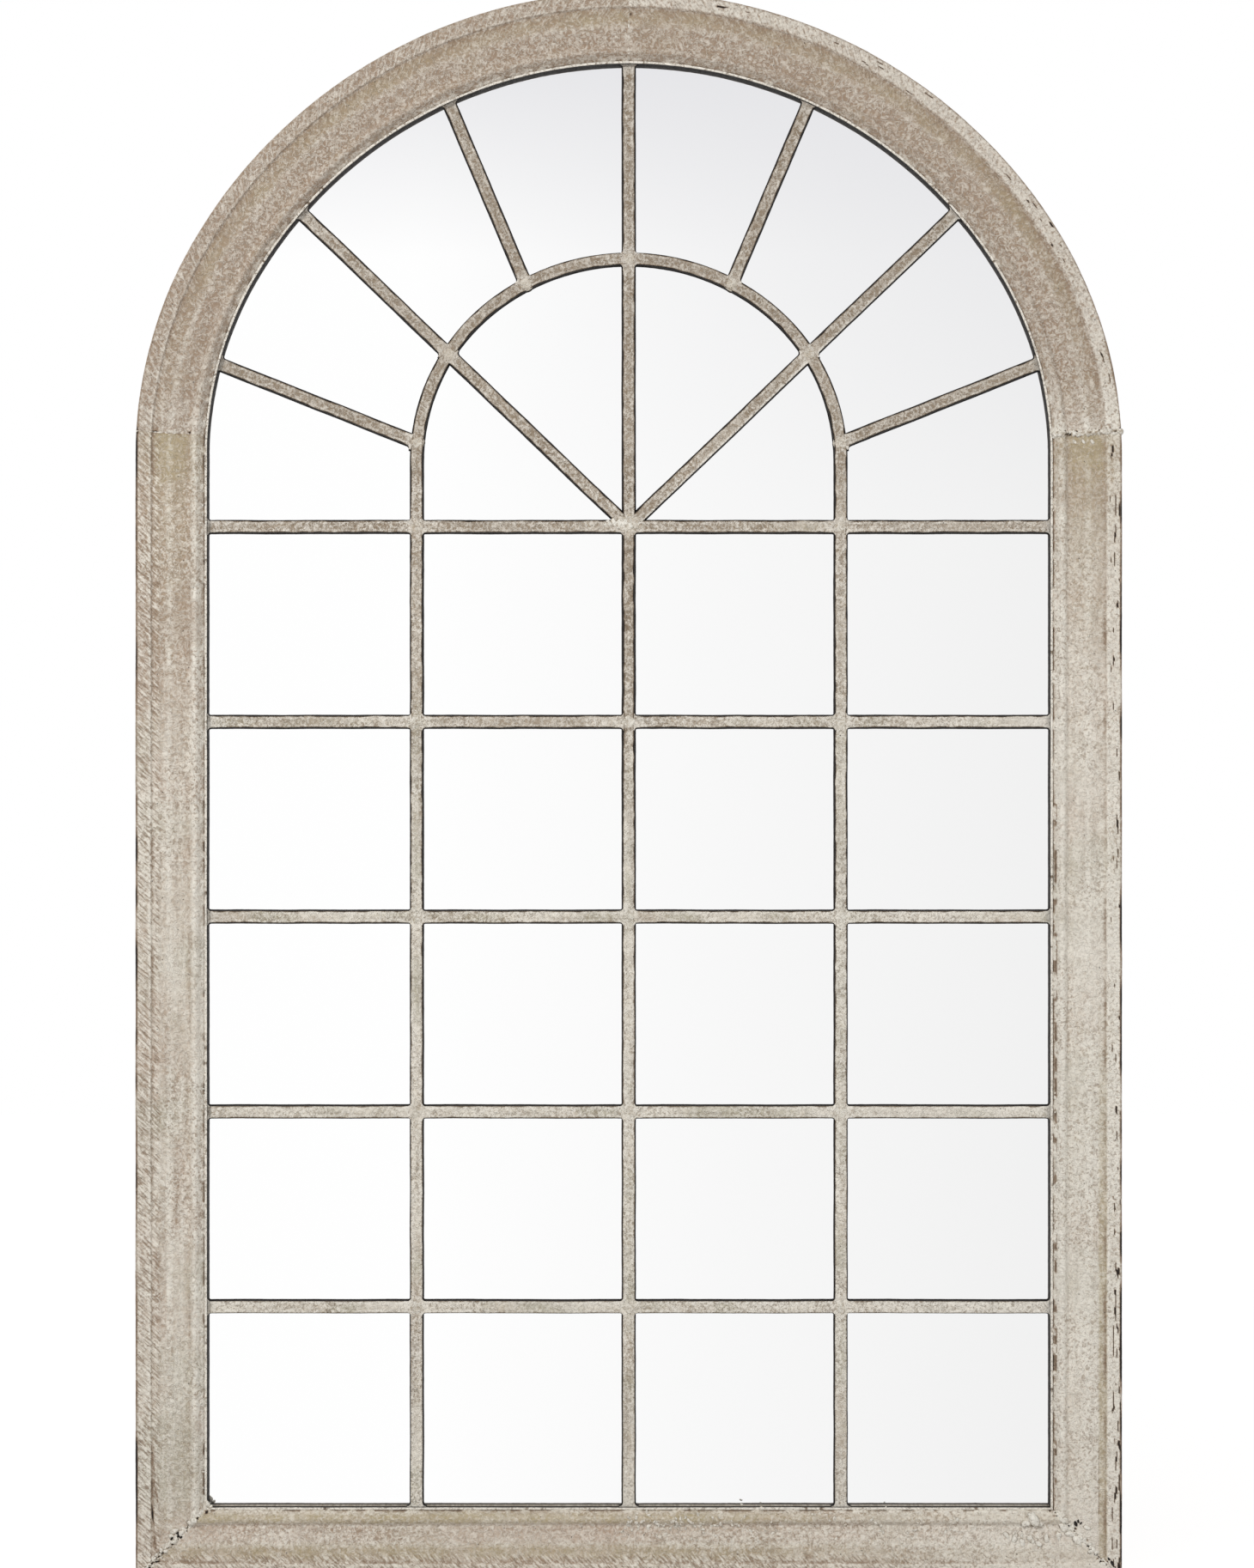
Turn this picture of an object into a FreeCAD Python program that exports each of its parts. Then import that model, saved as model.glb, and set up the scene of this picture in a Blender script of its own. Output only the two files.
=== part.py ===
# Arched window mirror: a pressed steel moulding over a wooden frame, one arched
# sheet of mirror glass behind a welded lattice of steel bars, and a backing board.
#
# Millimetres.  +X is the viewer's right, +Z is up and the face looks along -Y.
# The origin is at the middle of the depth, on the centre line, at the bottom edge.
import FreeCAD, Part
import math
import os
import re
import Sketcher

doc = FreeCAD.newDocument("arched_window_mirror")

# ---------------------------------------------------------------------------
# Driving dimensions
# ---------------------------------------------------------------------------
SIZES = (
    # outline: a three-centred arch on straight sides
    ("overall_width", 1143.0),
    ("overall_height", 1840.0),
    ("haunch_offset", 76.9),        # haunch centres from the centre line
    ("crown_drop", 46.8),           # crown centre below the spring line
    ("seam_rise", 28.5),            # seam between side and arch above the spring line
    # moulding, across from the outer edge and up from the back of the frame
    ("frame_depth", 44.3),
    ("moulding_width", 79.5),
    ("skin_thick", 1.0),
    ("arris", 1.5),
    ("band_width", 17.5),
    ("band_step_width", 2.0),
    ("band_step", 2.5),
    ("ridge_place", 39.0),
    ("ridge_drop", 1.0),
    ("groove_place", 62.0),
    ("groove_drop", 5.0),
    ("bead_place", 67.0),
    ("bead_drop", 0.5),
    ("bead_top", 4.0),
    ("lip_drop", 10.0),
    # rebate at the back that holds the glass and the board
    ("ledge_width", 17.5),
    ("rebate_depth", 19.0),
    ("glass_thick", 4.0),
    ("glass_clearance", 2.0),
    ("board_thick", 9.0),
    ("board_clearance", 1.0),
    # lattice of bars in front of the glass, and the strip that lines the opening
    ("bar_face", 13.0),
    ("bar_depth", 10.0),
    ("bar_gap", 0.3),               # bars and strip stand this far off the glass
    ("liner_thick", 2.5),
    ("liner_depth", 17.0),
    ("column_pitch", 246.5),
    ("bottom_pane", 231.8),         # opening's lower edge to the lowest crossbar's centre
    ("hub_to_spring", 81.4),        # top crossbar's centre below the spring line
    ("ring_spring_rise", 76.8),     # inner arch's spring line above the top crossbar
    ("ring_haunch_offset", 18.4),
    ("ring_crown_drop", 22.9),
    ("low_spoke_angle", 21.7),
    ("mid_spoke_angle", 43.8),
    ("high_spoke_angle", 67.0),
    # offset clips that hold the board
    ("clip_thick", 1.2),
    ("clip_width", 16.0),
    ("clip_foot", 18.0),
    ("clip_toe", 14.0),
    ("clip_clearance", 0.3),
    ("clip_screw_place", 10.0),     # screw from the clip's step
    ("arch_clip_step", 25.0),       # degrees between the clips round the arch
    # screws
    ("screw_radius", 1.75),
    ("screw_length", 14.0),
    ("screw_head_radius", 3.5),
    ("screw_head_height", 2.0),
    # plates across the joints of the wooden frame
    ("plate_thick", 1.5),
    ("plate_width", 20.0),
    ("plate_length", 90.0),
    ("plate_screw_near", 15.0),
    ("plate_screw_far", 35.0),
    ("corner_leg", 80.0),
    ("corner_screw_near", 35.0),
    ("corner_screw_far", 67.0),
    ("hardware_line", 25.0),        # plates, hangers and bumpers from the outer edge
    # hangers with swinging rings
    ("hanger_drop", 60.5),          # ring pivots below the spring line
    ("strap_thick", 1.0),
    ("strap_width", 16.0),
    ("strap_length", 36.0),
    ("ring_wire_radius", 1.6),
    ("ring_bow_radius", 15.0),
    ("ring_clearance", 0.1),        # in the strap's eye
    ("ring_lift", 0.3),             # between the hanging ring and the strap
    ("strap_screw_near", 22.0),
    ("strap_screw_far", 30.5),
    # rubber bumpers against the wall
    ("bumper_radius", 10.0),
    ("bumper_height", 6.5),
    ("bumper_low", 150.0),
    ("bumper_below_hanger", 120.0),
)
NAMES = {name for name, number in SIZES}
CROSSBARS = 5
SIDE_CLIPS = 3

sheet = doc.addObject("Spreadsheet::Sheet", "Size")
for row, (name, number) in enumerate(SIZES, start=1):
    sheet.set(f"A{row}", name)
    sheet.set(f"B{row}", str(number))
    sheet.setAlias(f"B{row}", name)
doc.recompute()


def sized(formula):
    """Put the sheet's name before every size in a formula."""
    return re.sub(r"[a-z_]+", lambda word: ("Size." if word[0] in NAMES else "") + word[0], formula)


def bind(thing, path, formula):
    thing.setExpression(path, sized(formula))


def value(formula):
    number = sheet.evalExpression(sized(formula))
    return getattr(number, "Value", number)


# ---------------------------------------------------------------------------
# Places worked out from the sizes
# ---------------------------------------------------------------------------
class Arch:
    """A three-centred arch: straight to the spring line, haunch, crown, haunch."""

    def __init__(self, half, offset, drop):
        self.half = half
        self.offset = offset
        self.drop = drop
        self.haunch = f"({half} - {offset})"
        self.crown = f"({self.haunch} + sqrt({offset}^2 + {drop}^2))"
        self.tilt = f"atan2({drop}; {offset})"      # where haunch and crown meet


frame_arch = Arch("overall_width / 2", "haunch_offset", "crown_drop")
SPRING = f"(overall_height - {frame_arch.crown} + crown_drop)"
frame_arch.spring = SPRING
HUB = f"({SPRING} - hub_to_spring)"
ring_arch = Arch("column_pitch", "ring_haunch_offset", "ring_crown_drop")
ring_arch.spring = f"({HUB} + ring_spring_rise)"

BACK = "((frame_depth - bumper_height) / 2)"        # the frame's back, as Y
LIP = "(moulding_width + liner_thick)"              # the opening, in from the outer edge
REBATE = "(moulding_width - ledge_width)"           # the rebate's side, in from the outer edge
BAR_BACK = "(rebate_depth + bar_gap)"               # the bars' backs, up from the frame's back
SEAM = f"asin(seam_rise / {frame_arch.haunch})"
ROW_PITCH = f"(({HUB} - {LIP} - bottom_pane) / {CROSSBARS - 1})"
ROWS = [f"({HUB} - {row} * {ROW_PITCH})" for row in range(CROSSBARS)]
HARDWARE_X = "(overall_width / 2 - hardware_line)"
PIVOT_Z = f"({SPRING} - hanger_drop)"
PIVOT_Y = f"({BACK} + strap_thick + ring_lift + ring_wire_radius)"


# ---------------------------------------------------------------------------
# Ways of making a piece
# ---------------------------------------------------------------------------
def new_body(label):
    return doc.addObject("PartDesign::Body", label)


def new_sketch(body, label, role, place):
    sketch = body.newObject("Sketcher::SketchObject", label)
    plane = next(feature for feature in body.Origin.OriginFeatures if feature.Role == role)
    sketch.AttachmentSupport = (plane, [""])
    sketch.MapMode = "FlatFace"
    if place:
        bind(sketch, "AttachmentOffset", place)
    return sketch


def fix_point(sketch, line, end, x, y):
    """Tie one point of a sketch to two formulas."""
    for kind, formula in (("DistanceX", x), ("DistanceY", y)):
        number = sketch.addConstraint(Sketcher.Constraint(kind, -1, 1, line, end, value(formula)))
        bind(sketch, f"Constraints[{number}]", formula)


def polygon_sketch(body, label, role, outlines, place=None, axis=None):
    """Closed straight-sided outlines, and a turning axis beside them where one is needed."""
    sketch = new_sketch(body, label, role, place)
    for corners in outlines:
        first = sketch.GeometryCount
        count = len(corners)
        points = [FreeCAD.Vector(value(x), value(y), 0) for x, y in corners]
        for index in range(count):
            sketch.addGeometry(Part.LineSegment(points[index], points[(index + 1) % count]))
        for index, (x, y) in enumerate(corners):
            after = first + (index + 1) % count
            sketch.addConstraint(Sketcher.Constraint("Coincident", first + index, 2, after, 1))
            fix_point(sketch, first + index, 1, x, y)
    if axis:
        line = sketch.GeometryCount
        foot = FreeCAD.Vector(value(axis), 0, 0)
        head = FreeCAD.Vector(value(axis), value("frame_depth"), 0)
        sketch.addGeometry(Part.LineSegment(foot, head), True)
        fix_point(sketch, line, 1, axis, "0")
        fix_point(sketch, line, 2, axis, "frame_depth")
    return sketch


def arch_sketch(body, label, arch, inset, base, place):
    """The outline of an arch set in by inset, down to a level base."""
    sketch = new_sketch(body, label, "XZ_Plane", place)
    half = value(f"{arch.half} - ({inset})")
    offset = value(arch.offset)
    spring = value(arch.spring)
    level = value(base)
    tilt = math.radians(value(arch.tilt))
    up = FreeCAD.Vector(0, 0, 1)
    centres = ((offset, spring), (0, spring - value(arch.drop)), (-offset, spring))
    radii = [value(f"{radius} - ({inset})") for radius in (arch.haunch, arch.crown, arch.haunch)]
    angles = (0, tilt, math.pi - tilt, math.pi)
    for index, (x, z) in enumerate(centres):
        circle = Part.Circle(FreeCAD.Vector(x, z, 0), up, radii[index])
        sketch.addGeometry(Part.ArcOfCircle(circle, angles[index], angles[index + 1]))
    feet = [FreeCAD.Vector(x, z, 0)
            for x, z in ((-half, spring), (-half, level), (half, level), (half, spring))]
    for start, end in zip(feet, feet[1:]):
        sketch.addGeometry(Part.LineSegment(start, end))
    for one, other in ((0, 1), (1, 2), (2, 3), (5, 0)):
        sketch.addConstraint(Sketcher.Constraint("Tangent", one, 2, other, 1))
    for one, other in ((3, 4), (4, 5)):
        sketch.addConstraint(Sketcher.Constraint("Coincident", one, 2, other, 1))
    sketch.addConstraint(Sketcher.Constraint("Vertical", 3))
    sketch.addConstraint(Sketcher.Constraint("Vertical", 5))
    sketch.addConstraint(Sketcher.Constraint("Horizontal", 4))
    fix_point(sketch, 0, 3, arch.offset, arch.spring)
    fix_point(sketch, 1, 3, "0", f"{arch.spring} - {arch.drop}")
    fix_point(sketch, 2, 3, f"-{arch.offset}", arch.spring)
    number = sketch.addConstraint(Sketcher.Constraint("Radius", 1, radii[1]))
    bind(sketch, f"Constraints[{number}]", f"{arch.crown} - ({inset})")
    number = sketch.addConstraint(Sketcher.Constraint("DistanceY", -1, 1, 4, 1, level))
    bind(sketch, f"Constraints[{number}]", base)
    return sketch


def pad(body, label, sketch, length, reverse=False, both_ways=False):
    feature = body.newObject("PartDesign::Pad", label)
    feature.Profile = sketch
    feature.Reversed = reverse
    feature.Midplane = both_ways
    bind(feature, "Length", length)
    return feature


def turn(body, label, sketch, axis, angle, reverse=False):
    feature = body.newObject("PartDesign::Revolution", label)
    feature.Profile = sketch
    feature.ReferenceAxis = (sketch, [axis])
    feature.Reversed = reverse
    bind(feature, "Angle", angle)
    return feature


def cut_through(body, label, sketch):
    """Cut an outline right through the body, both ways from its plane."""
    doc.recompute()
    before = body.Shape.Volume
    feature = body.newObject("PartDesign::Pocket", label)
    feature.Profile = sketch
    feature.Type = "ThroughAll"
    feature.Midplane = True
    doc.recompute()
    if not body.Shape.Volume < before:
        raise RuntimeError(f"{label} cuts nothing")
    return feature


def arch_slab(label, arch, inset, base, level, thick):
    """A flat arched sheet whose back is level above the frame's back."""
    body = new_body(label)
    place = f"placement(vector(0; 0; {level} - {BACK}); rotation(vector(0; 0; 1); 0))"
    sketch = arch_sketch(body, f"{label}_outline", arch, inset, base, place)
    pad(body, f"{label}_pad", sketch, thick)
    return body


def arch_half(label, arch, section, start):
    """The left half of a bent member, from an angle above the spring line to the crown.

    The section is drawn where haunch and crown meet, because both centres lie in that plane."""
    body = new_body(label)
    centre = f"placement(vector(0; 0; {arch.spring} - {arch.drop}); rotation(vector(0; 1; 0); {arch.tilt}))"
    corners = [(f"({across}) - {arch.crown}", f"{BACK} - ({above})") for across, above in section]
    haunch_axis = f"{arch.haunch} - {arch.crown}"
    sketch = polygon_sketch(body, f"{label}_section", "XY_Plane", [corners], centre, haunch_axis)
    turn(body, f"{label}_crown", sketch, "V_Axis", f"90 deg - {arch.tilt}")
    turn(body, f"{label}_haunch", sketch, "Axis0", f"{arch.tilt} - ({start})", reverse=True)
    return body


def side_member(label, section):
    """The left side of the frame: straight, then bent inwards up to the seam."""
    body = new_body(label)
    at_spring = f"placement(vector(0; 0; {SPRING}); rotation(vector(0; 0; 1); 0))"
    corners = [(f"({across}) - overall_width / 2", f"{BACK} - ({above})") for across, above in section]
    sketch = polygon_sketch(body, f"{label}_section", "XY_Plane", [corners], at_spring, "-haunch_offset")
    pad(body, f"{label}_length", sketch, SPRING, reverse=True)
    turn(body, f"{label}_bend", sketch, "Axis0", SEAM)
    corner = ("-overall_width / 2", "0")
    inner = "moulding_width - overall_width / 2"
    triangle = [corner, (inner, "0"), (inner, "moulding_width")]
    mitre = polygon_sketch(body, f"{label}_mitre_line", "XZ_Plane", [triangle])
    cut_through(body, f"{label}_mitre", mitre)
    return body


def bottom_member(label, section):
    """The bottom rail, mitred at both ends."""
    body = new_body(label)
    corners = [(f"{BACK} - ({above})", across) for across, above in section]
    sketch = polygon_sketch(body, f"{label}_section", "YZ_Plane", [corners])
    pad(body, f"{label}_length", sketch, "overall_width", both_ways=True)
    triangles = []
    for sign in ("-", ""):
        edge = f"{sign}overall_width / 2"
        inner = f"{sign}(overall_width / 2 - moulding_width)"
        triangles.append([(edge, "0"), (inner, "moulding_width"), (edge, "moulding_width")])
    mitres = polygon_sketch(body, f"{label}_mitre_lines", "XZ_Plane", triangles)
    cut_through(body, f"{label}_mitres", mitres)
    return body


def box(label, x, y, z, length, width, height, tilt=None):
    """A block with one corner at x, y, z, tilted up from +X where tilt is given."""
    block = doc.addObject("Part::Box", label)
    bind(block, "Length", length)
    bind(block, "Width", width)
    bind(block, "Height", height)
    angle = tilt or "0"
    bind(block, "Placement", f"placement(vector({x}; {y}; {z}); rotation(vector(0; -1; 0); {angle}))")
    return block


def cylinder(label, radius, length, x, y, z, along):
    """A round bar that starts at x, y, z and runs along +X, +Y or -Y."""
    turns = {"+X": "vector(0; 1; 0); 90", "+Y": "vector(1; 0; 0); -90", "-Y": "vector(1; 0; 0); 90"}
    bar = doc.addObject("Part::Cylinder", label)
    bind(bar, "Radius", radius)
    bind(bar, "Height", length)
    bind(bar, "Placement", f"placement(vector({x}; {y}; {z}); rotation({turns[along]}))")
    return bar


def mirrored(label, source):
    """The same piece on the other side of the centre line."""
    other = doc.addObject("Part::Mirroring", label)
    other.Source = source
    other.Base = (0, 0, 0)
    other.Normal = (1, 0, 0)
    return other


def cut(label, base, tool):
    feature = doc.addObject("Part::Cut", label)
    feature.Base = base
    feature.Tool = tool
    return feature


def common(label, base, tool):
    feature = doc.addObject("Part::Common", label)
    feature.Base = base
    feature.Tool = tool
    return feature


def fuse(label, shapes):
    feature = doc.addObject("Part::MultiFuse", label)
    feature.Shapes = shapes
    return feature


def group(label, members):
    feature = doc.addObject("Part::Compound", label)
    feature.Links = members
    return feature


def copies(label, source, stations):
    """One copy of a piece at each station: x, y, z and a turn about +Y, before the piece's own place."""
    links = []
    for index, (x, y, z, angle) in enumerate(stations):
        link = doc.addObject("App::Link", f"{label}_{index}")
        link.LinkedObject = source
        link.LinkTransform = True
        bind(link, "Placement", f"placement(vector({x}; {y}; {z}); rotation(vector(0; 1; 0); {angle}))")
        links.append(link)
    return group(label, links)


# ---------------------------------------------------------------------------
# Frame: pressed moulding over a wooden core
# ---------------------------------------------------------------------------
def moulding_line(inset):
    """The moulding's face, from its back outer edge to its back inner edge."""
    top = f"frame_depth - {inset}"
    return [
        (inset, "0"),
        (inset, f"{top} - arris"),
        (f"{inset} + arris", top),
        ("band_width", top),
        ("band_width + band_step_width", f"{top} - band_step"),
        ("ridge_place", f"{top} - ridge_drop"),
        ("groove_place", f"{top} - groove_drop"),
        ("bead_place", f"{top} - bead_drop"),
        ("bead_place + bead_top", f"{top} - 2 * bead_drop"),
        (f"moulding_width - {inset}", f"{top} - lip_drop"),
        (f"moulding_width - {inset}", "rebate_depth"),
    ]


SKIN = moulding_line("0") + moulding_line("skin_thick")[::-1]
CORE = moulding_line("skin_thick") + [(REBATE, "rebate_depth"), (REBATE, "0")]

skins = {
    "moulding_arch_left": arch_half("moulding_arch_left", frame_arch, SKIN, SEAM),
    "moulding_side_left": side_member("moulding_side_left", SKIN),
    "moulding_bottom": bottom_member("moulding_bottom", SKIN),
}
for part in ("arch", "side"):
    skins[f"moulding_{part}_right"] = mirrored(f"moulding_{part}_right", skins[f"moulding_{part}_left"])

core_blanks = {
    "core_arch_left": arch_half("core_arch_left_blank", frame_arch, CORE, SEAM),
    "core_side_left": side_member("core_side_left_blank", CORE),
    "core_bottom": bottom_member("core_bottom_blank", CORE),
}
for part in ("arch", "side"):
    blank = core_blanks[f"core_{part}_left"]
    core_blanks[f"core_{part}_right"] = mirrored(f"core_{part}_right_blank", blank)

# ---------------------------------------------------------------------------
# Strip that lines the opening
# ---------------------------------------------------------------------------
BAR_FRONT_Y = f"{BACK} - {BAR_BACK} - bar_depth"
LINER_FRONT_Y = f"{BACK} - {BAR_BACK} - liner_depth"
LINER_TOP = f"{BAR_BACK} + liner_depth"
LINER = [("moulding_width", BAR_BACK), ("moulding_width", LINER_TOP), (LIP, LINER_TOP), (LIP, BAR_BACK)]


def mirror_body(body, label, tip):
    """Add the other half of a bent member, so that it is one piece."""
    whole = body.newObject("PartDesign::Mirrored", label)
    whole.Originals = tip
    plane = next(feature for feature in body.Origin.OriginFeatures if feature.Role == "YZ_Plane")
    whole.MirrorPlane = (plane, [""])
    body.Tip = whole


liner_arch = arch_half("liner_arch", frame_arch, LINER, "0 deg")
mirror_body(liner_arch, "liner_arch_whole", liner_arch.Group[-2:])
liner_left = box("liner_left", "moulding_width - overall_width / 2", LINER_FRONT_Y, LIP,
                 "liner_thick", "liner_depth", f"{SPRING} - {LIP}")
liner_right = mirrored("liner_right", liner_left)
liner_bottom = box("liner_bottom", "moulding_width - overall_width / 2", LINER_FRONT_Y, "moulding_width",
                   "overall_width - 2 * moulding_width", "liner_depth", "liner_thick")

# ---------------------------------------------------------------------------
# Lattice: uprights, inner arch, crossbars and spokes
# ---------------------------------------------------------------------------
uprights = {}
for name, centre in (("left", "-column_pitch"), ("centre", "0"), ("right", "column_pitch")):
    uprights[name] = box(f"upright_{name}", f"{centre} - bar_face / 2", BAR_FRONT_Y, LIP,
                         "bar_face", "bar_depth", f"{HUB} + bar_face / 2 - {LIP}")

BAR = [("-bar_face / 2", BAR_BACK), ("-bar_face / 2", f"{BAR_BACK} + bar_depth"),
       ("bar_face / 2", f"{BAR_BACK} + bar_depth"), ("bar_face / 2", BAR_BACK)]
inner_arch = arch_half("inner_arch_bar", ring_arch, BAR, "0 deg")
leg_place = f"placement(vector(0; 0; {ring_arch.spring}); rotation(vector(0; 0; 1); 0))"
leg_corners = [(f"({across}) - column_pitch", f"{BACK} - ({above})") for across, above in BAR]
leg_sketch = polygon_sketch(inner_arch, "inner_arch_leg_section", "XY_Plane", [leg_corners], leg_place)
pad(inner_arch, "inner_arch_leg", leg_sketch, "ring_spring_rise - bar_face / 2", reverse=True)
bent_parts = [feature for feature in inner_arch.Group if not feature.isDerivedFrom("Sketcher::SketchObject")]
mirror_body(inner_arch, "inner_arch_whole", bent_parts)

crossbars = []
OPENING_HALF = f"(overall_width / 2 - {LIP})"
for row, height in enumerate(ROWS):
    pieces = []
    spans = (("outer_left", f"-{OPENING_HALF}", "-column_pitch - bar_face / 2"),
             ("inner_left", "-column_pitch + bar_face / 2", "-bar_face / 2"),
             ("inner_right", "bar_face / 2", "column_pitch - bar_face / 2"),
             ("outer_right", "column_pitch + bar_face / 2", OPENING_HALF))
    for name, start, end in spans:
        pieces.append(box(f"crossbar_{row}_{name}", start, BAR_FRONT_Y, f"{height} - bar_face / 2",
                          f"{end} - ({start})", "bar_depth", "bar_face"))
    crossbars.append(group(f"crossbars_row_{row + 1}", pieces))

SPOKE_BASE = f"{HUB} + bar_face / 2"
inside_opening = arch_slab("inside_opening", frame_arch, LIP, SPOKE_BASE, BAR_BACK, "bar_depth")
inside_ring = arch_slab("inside_ring", ring_arch, "bar_face / 2", SPOKE_BASE, BAR_BACK, "bar_depth")
within_ring = arch_slab("within_ring_and_bar", ring_arch, "-bar_face / 2", SPOKE_BASE, BAR_BACK, "bar_depth")
outside_ring = cut("between_ring_and_frame", inside_opening, within_ring)
centre_strip = box("centre_strip", "-bar_face / 2", BAR_FRONT_Y, HUB,
                   "bar_face", "bar_depth", "overall_height")


def spoke_blank(label, angle):
    """A long bar from the hub at an angle above +X."""
    return box(label, f"sin({angle}) * bar_face / 2", BAR_FRONT_Y, f"{HUB} - cos({angle}) * bar_face / 2",
               "overall_width", "bar_depth", "bar_face", angle)


spokes = []
for name, angle in (("low", "low_spoke_angle"), ("mid", "mid_spoke_angle"), ("high", "high_spoke_angle")):
    blank = spoke_blank(f"spoke_{name}_blank", f"({angle} * 1 deg)")
    right = common(f"outer_spoke_{name}_right", blank, outside_ring)
    spokes += [right, mirrored(f"outer_spoke_{name}_left", right)]
    if name == "mid":
        in_ring = common("spoke_mid_in_ring", blank, inside_ring)
        inner_right = cut("inner_spoke_right", in_ring, centre_strip)
        spokes += [inner_right, mirrored("inner_spoke_left", inner_right)]
centre_blank = spoke_blank("spoke_centre_blank", "90 deg")
spokes.append(common("outer_spoke_centre", centre_blank, outside_ring))
spokes.append(common("inner_spoke_centre", centre_blank, inside_ring))

# ---------------------------------------------------------------------------
# Glass and board in the rebate
# ---------------------------------------------------------------------------
GLASS_INSET = f"({REBATE} + glass_clearance)"
BOARD_INSET = f"({REBATE} + board_clearance)"
BOARD_BACK = "(rebate_depth - glass_thick - board_thick)"
mirror_glass = arch_slab("mirror_glass", frame_arch, GLASS_INSET, GLASS_INSET,
                         "rebate_depth - glass_thick", "glass_thick")
backing_board = arch_slab("backing_board", frame_arch, BOARD_INSET, BOARD_INSET,
                          BOARD_BACK, "board_thick")

# ---------------------------------------------------------------------------
# Clips that hold the board, at their step over the rebate's side
# ---------------------------------------------------------------------------
clip = new_body("clip")
STEP = "clip_clearance + clip_thick"
clip_corners = [("0", "-clip_foot"), ("clip_thick", "-clip_foot"), ("clip_thick", STEP),
                (f"clip_thick - {BOARD_BACK}", STEP), (f"clip_thick - {BOARD_BACK}", "clip_toe"),
                (f"-{BOARD_BACK}", "clip_toe"), (f"-{BOARD_BACK}", "clip_clearance"),
                ("0", "clip_clearance")]
clip_sketch = polygon_sketch(clip, "clip_section", "YZ_Plane", [clip_corners])
pad(clip, "clip_strip", clip_sketch, "clip_width", both_ways=True)

clip_stations = []
side_run = f"({SPRING} - {REBATE})"
for step in range(1, SIDE_CLIPS + 1):
    height = f"{REBATE} + {side_run} * {step} / {SIDE_CLIPS + 1}"
    clip_stations.append((f"{REBATE} - overall_width / 2", BACK, height, "90 deg"))
    clip_stations.append((f"overall_width / 2 - {REBATE}", BACK, height, "-90 deg"))
for side in (-1, 0, 1):
    clip_stations.append((f"{side} * column_pitch", BACK, REBATE, "0 deg"))
CLIP_RADIUS = f"({frame_arch.crown} - {REBATE})"
for side in (-2, -1, 0, 1, 2):
    swing = f"({side} * arch_clip_step * 1 deg)"
    clip_stations.append((f"{CLIP_RADIUS} * sin({swing})", BACK,
                          f"{SPRING} - crown_drop + {CLIP_RADIUS} * cos({swing})", f"180 deg + {swing}"))
clip_blanks = copies("clip_blanks", clip, clip_stations)

# ---------------------------------------------------------------------------
# Screws: one pattern, its head's underside at the station
# ---------------------------------------------------------------------------
screw = fuse("screw", [
    cylinder("screw_shank", "screw_radius", "screw_length", "0", "0", "0", "-Y"),
    cylinder("screw_head", "screw_head_radius", "screw_head_height", "0", "0", "0", "+Y"),
])
clip_screws = copies("clip_screws", screw, [
    (f"{x} - sin({angle}) * clip_screw_place", f"{BACK} + clip_thick",
     f"{z} - cos({angle}) * clip_screw_place", "0")
    for x, y, z, angle in clip_stations])

SEAM_RADIUS = f"({frame_arch.haunch} - hardware_line)"
seam_x = f"haunch_offset + {SEAM_RADIUS} * cos({SEAM})"
seam_z = f"{SPRING} + {SEAM_RADIUS} * sin({SEAM})"
crown_z = "overall_height - hardware_line"
CORNER = "(hardware_line - plate_width / 2)"
plate_screw_stations = []
for place in ("-plate_screw_far", "-plate_screw_near", "plate_screw_near", "plate_screw_far"):
    plate_screw_stations.append((place, crown_z))
    for sign in ("-", ""):
        plate_screw_stations.append((f"{sign}({seam_x} - ({place}) * sin({SEAM}))",
                                     f"{seam_z} + ({place}) * cos({SEAM})"))
for place in ("corner_screw_near", "corner_screw_far"):
    for sign in ("-", ""):
        plate_screw_stations.append((f"{sign}{HARDWARE_X}", f"{CORNER} + {place}"))
        plate_screw_stations.append((f"{sign}(overall_width / 2 - {CORNER} - {place})", "hardware_line"))
plate_screws = copies("plate_screws", screw, [
    (x, f"{BACK} + plate_thick", z, "0") for x, z in plate_screw_stations])

hanger_screws = copies("hanger_screws", screw, [
    (f"{sign}{HARDWARE_X}", f"{BACK} + strap_thick", f"{PIVOT_Z} - {place}", "0")
    for place in ("strap_screw_near", "strap_screw_far") for sign in ("-", "")])
all_screws = group("all_screws", [clip_screws, plate_screws, hanger_screws])

fixing_clips = cut("fixing_clips", clip_blanks, clip_screws)
cores = {name: cut(name, blank, all_screws) for name, blank in core_blanks.items()}

# ---------------------------------------------------------------------------
# Plates across the joints of the wooden frame
# ---------------------------------------------------------------------------
crown_blank = box("joint_plate_crown_blank", "-plate_length / 2", BACK, f"{crown_z} - plate_width / 2",
                  "plate_length", "plate_thick", "plate_width")
# A box tilted by 90 degrees less the seam's angle has its length along the side.
LEAN = f"(90 deg + {SEAM})"
seam_blank = box("joint_plate_right_blank",
                 f"{seam_x} - cos({LEAN}) * plate_length / 2 + sin({LEAN}) * plate_width / 2", BACK,
                 f"{seam_z} - sin({LEAN}) * plate_length / 2 - cos({LEAN}) * plate_width / 2",
                 "plate_length", "plate_thick", "plate_width", LEAN)
corner_body = new_body("corner_plate_left_blank")
edges = (CORNER, f"{CORNER} + plate_width", f"{CORNER} + corner_leg")
corner_points = [(0, 0), (2, 0), (2, 1), (1, 1), (1, 2), (0, 2)]
corner_outline = [(f"{edges[across]} - overall_width / 2", edges[above]) for across, above in corner_points]
corner_place = f"placement(vector(0; 0; -{BACK} - plate_thick); rotation(vector(0; 0; 1); 0))"
corner_sketch = polygon_sketch(corner_body, "corner_plate_outline", "XZ_Plane", [corner_outline], corner_place)
pad(corner_body, "corner_plate_pad", corner_sketch, "plate_thick")
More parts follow.
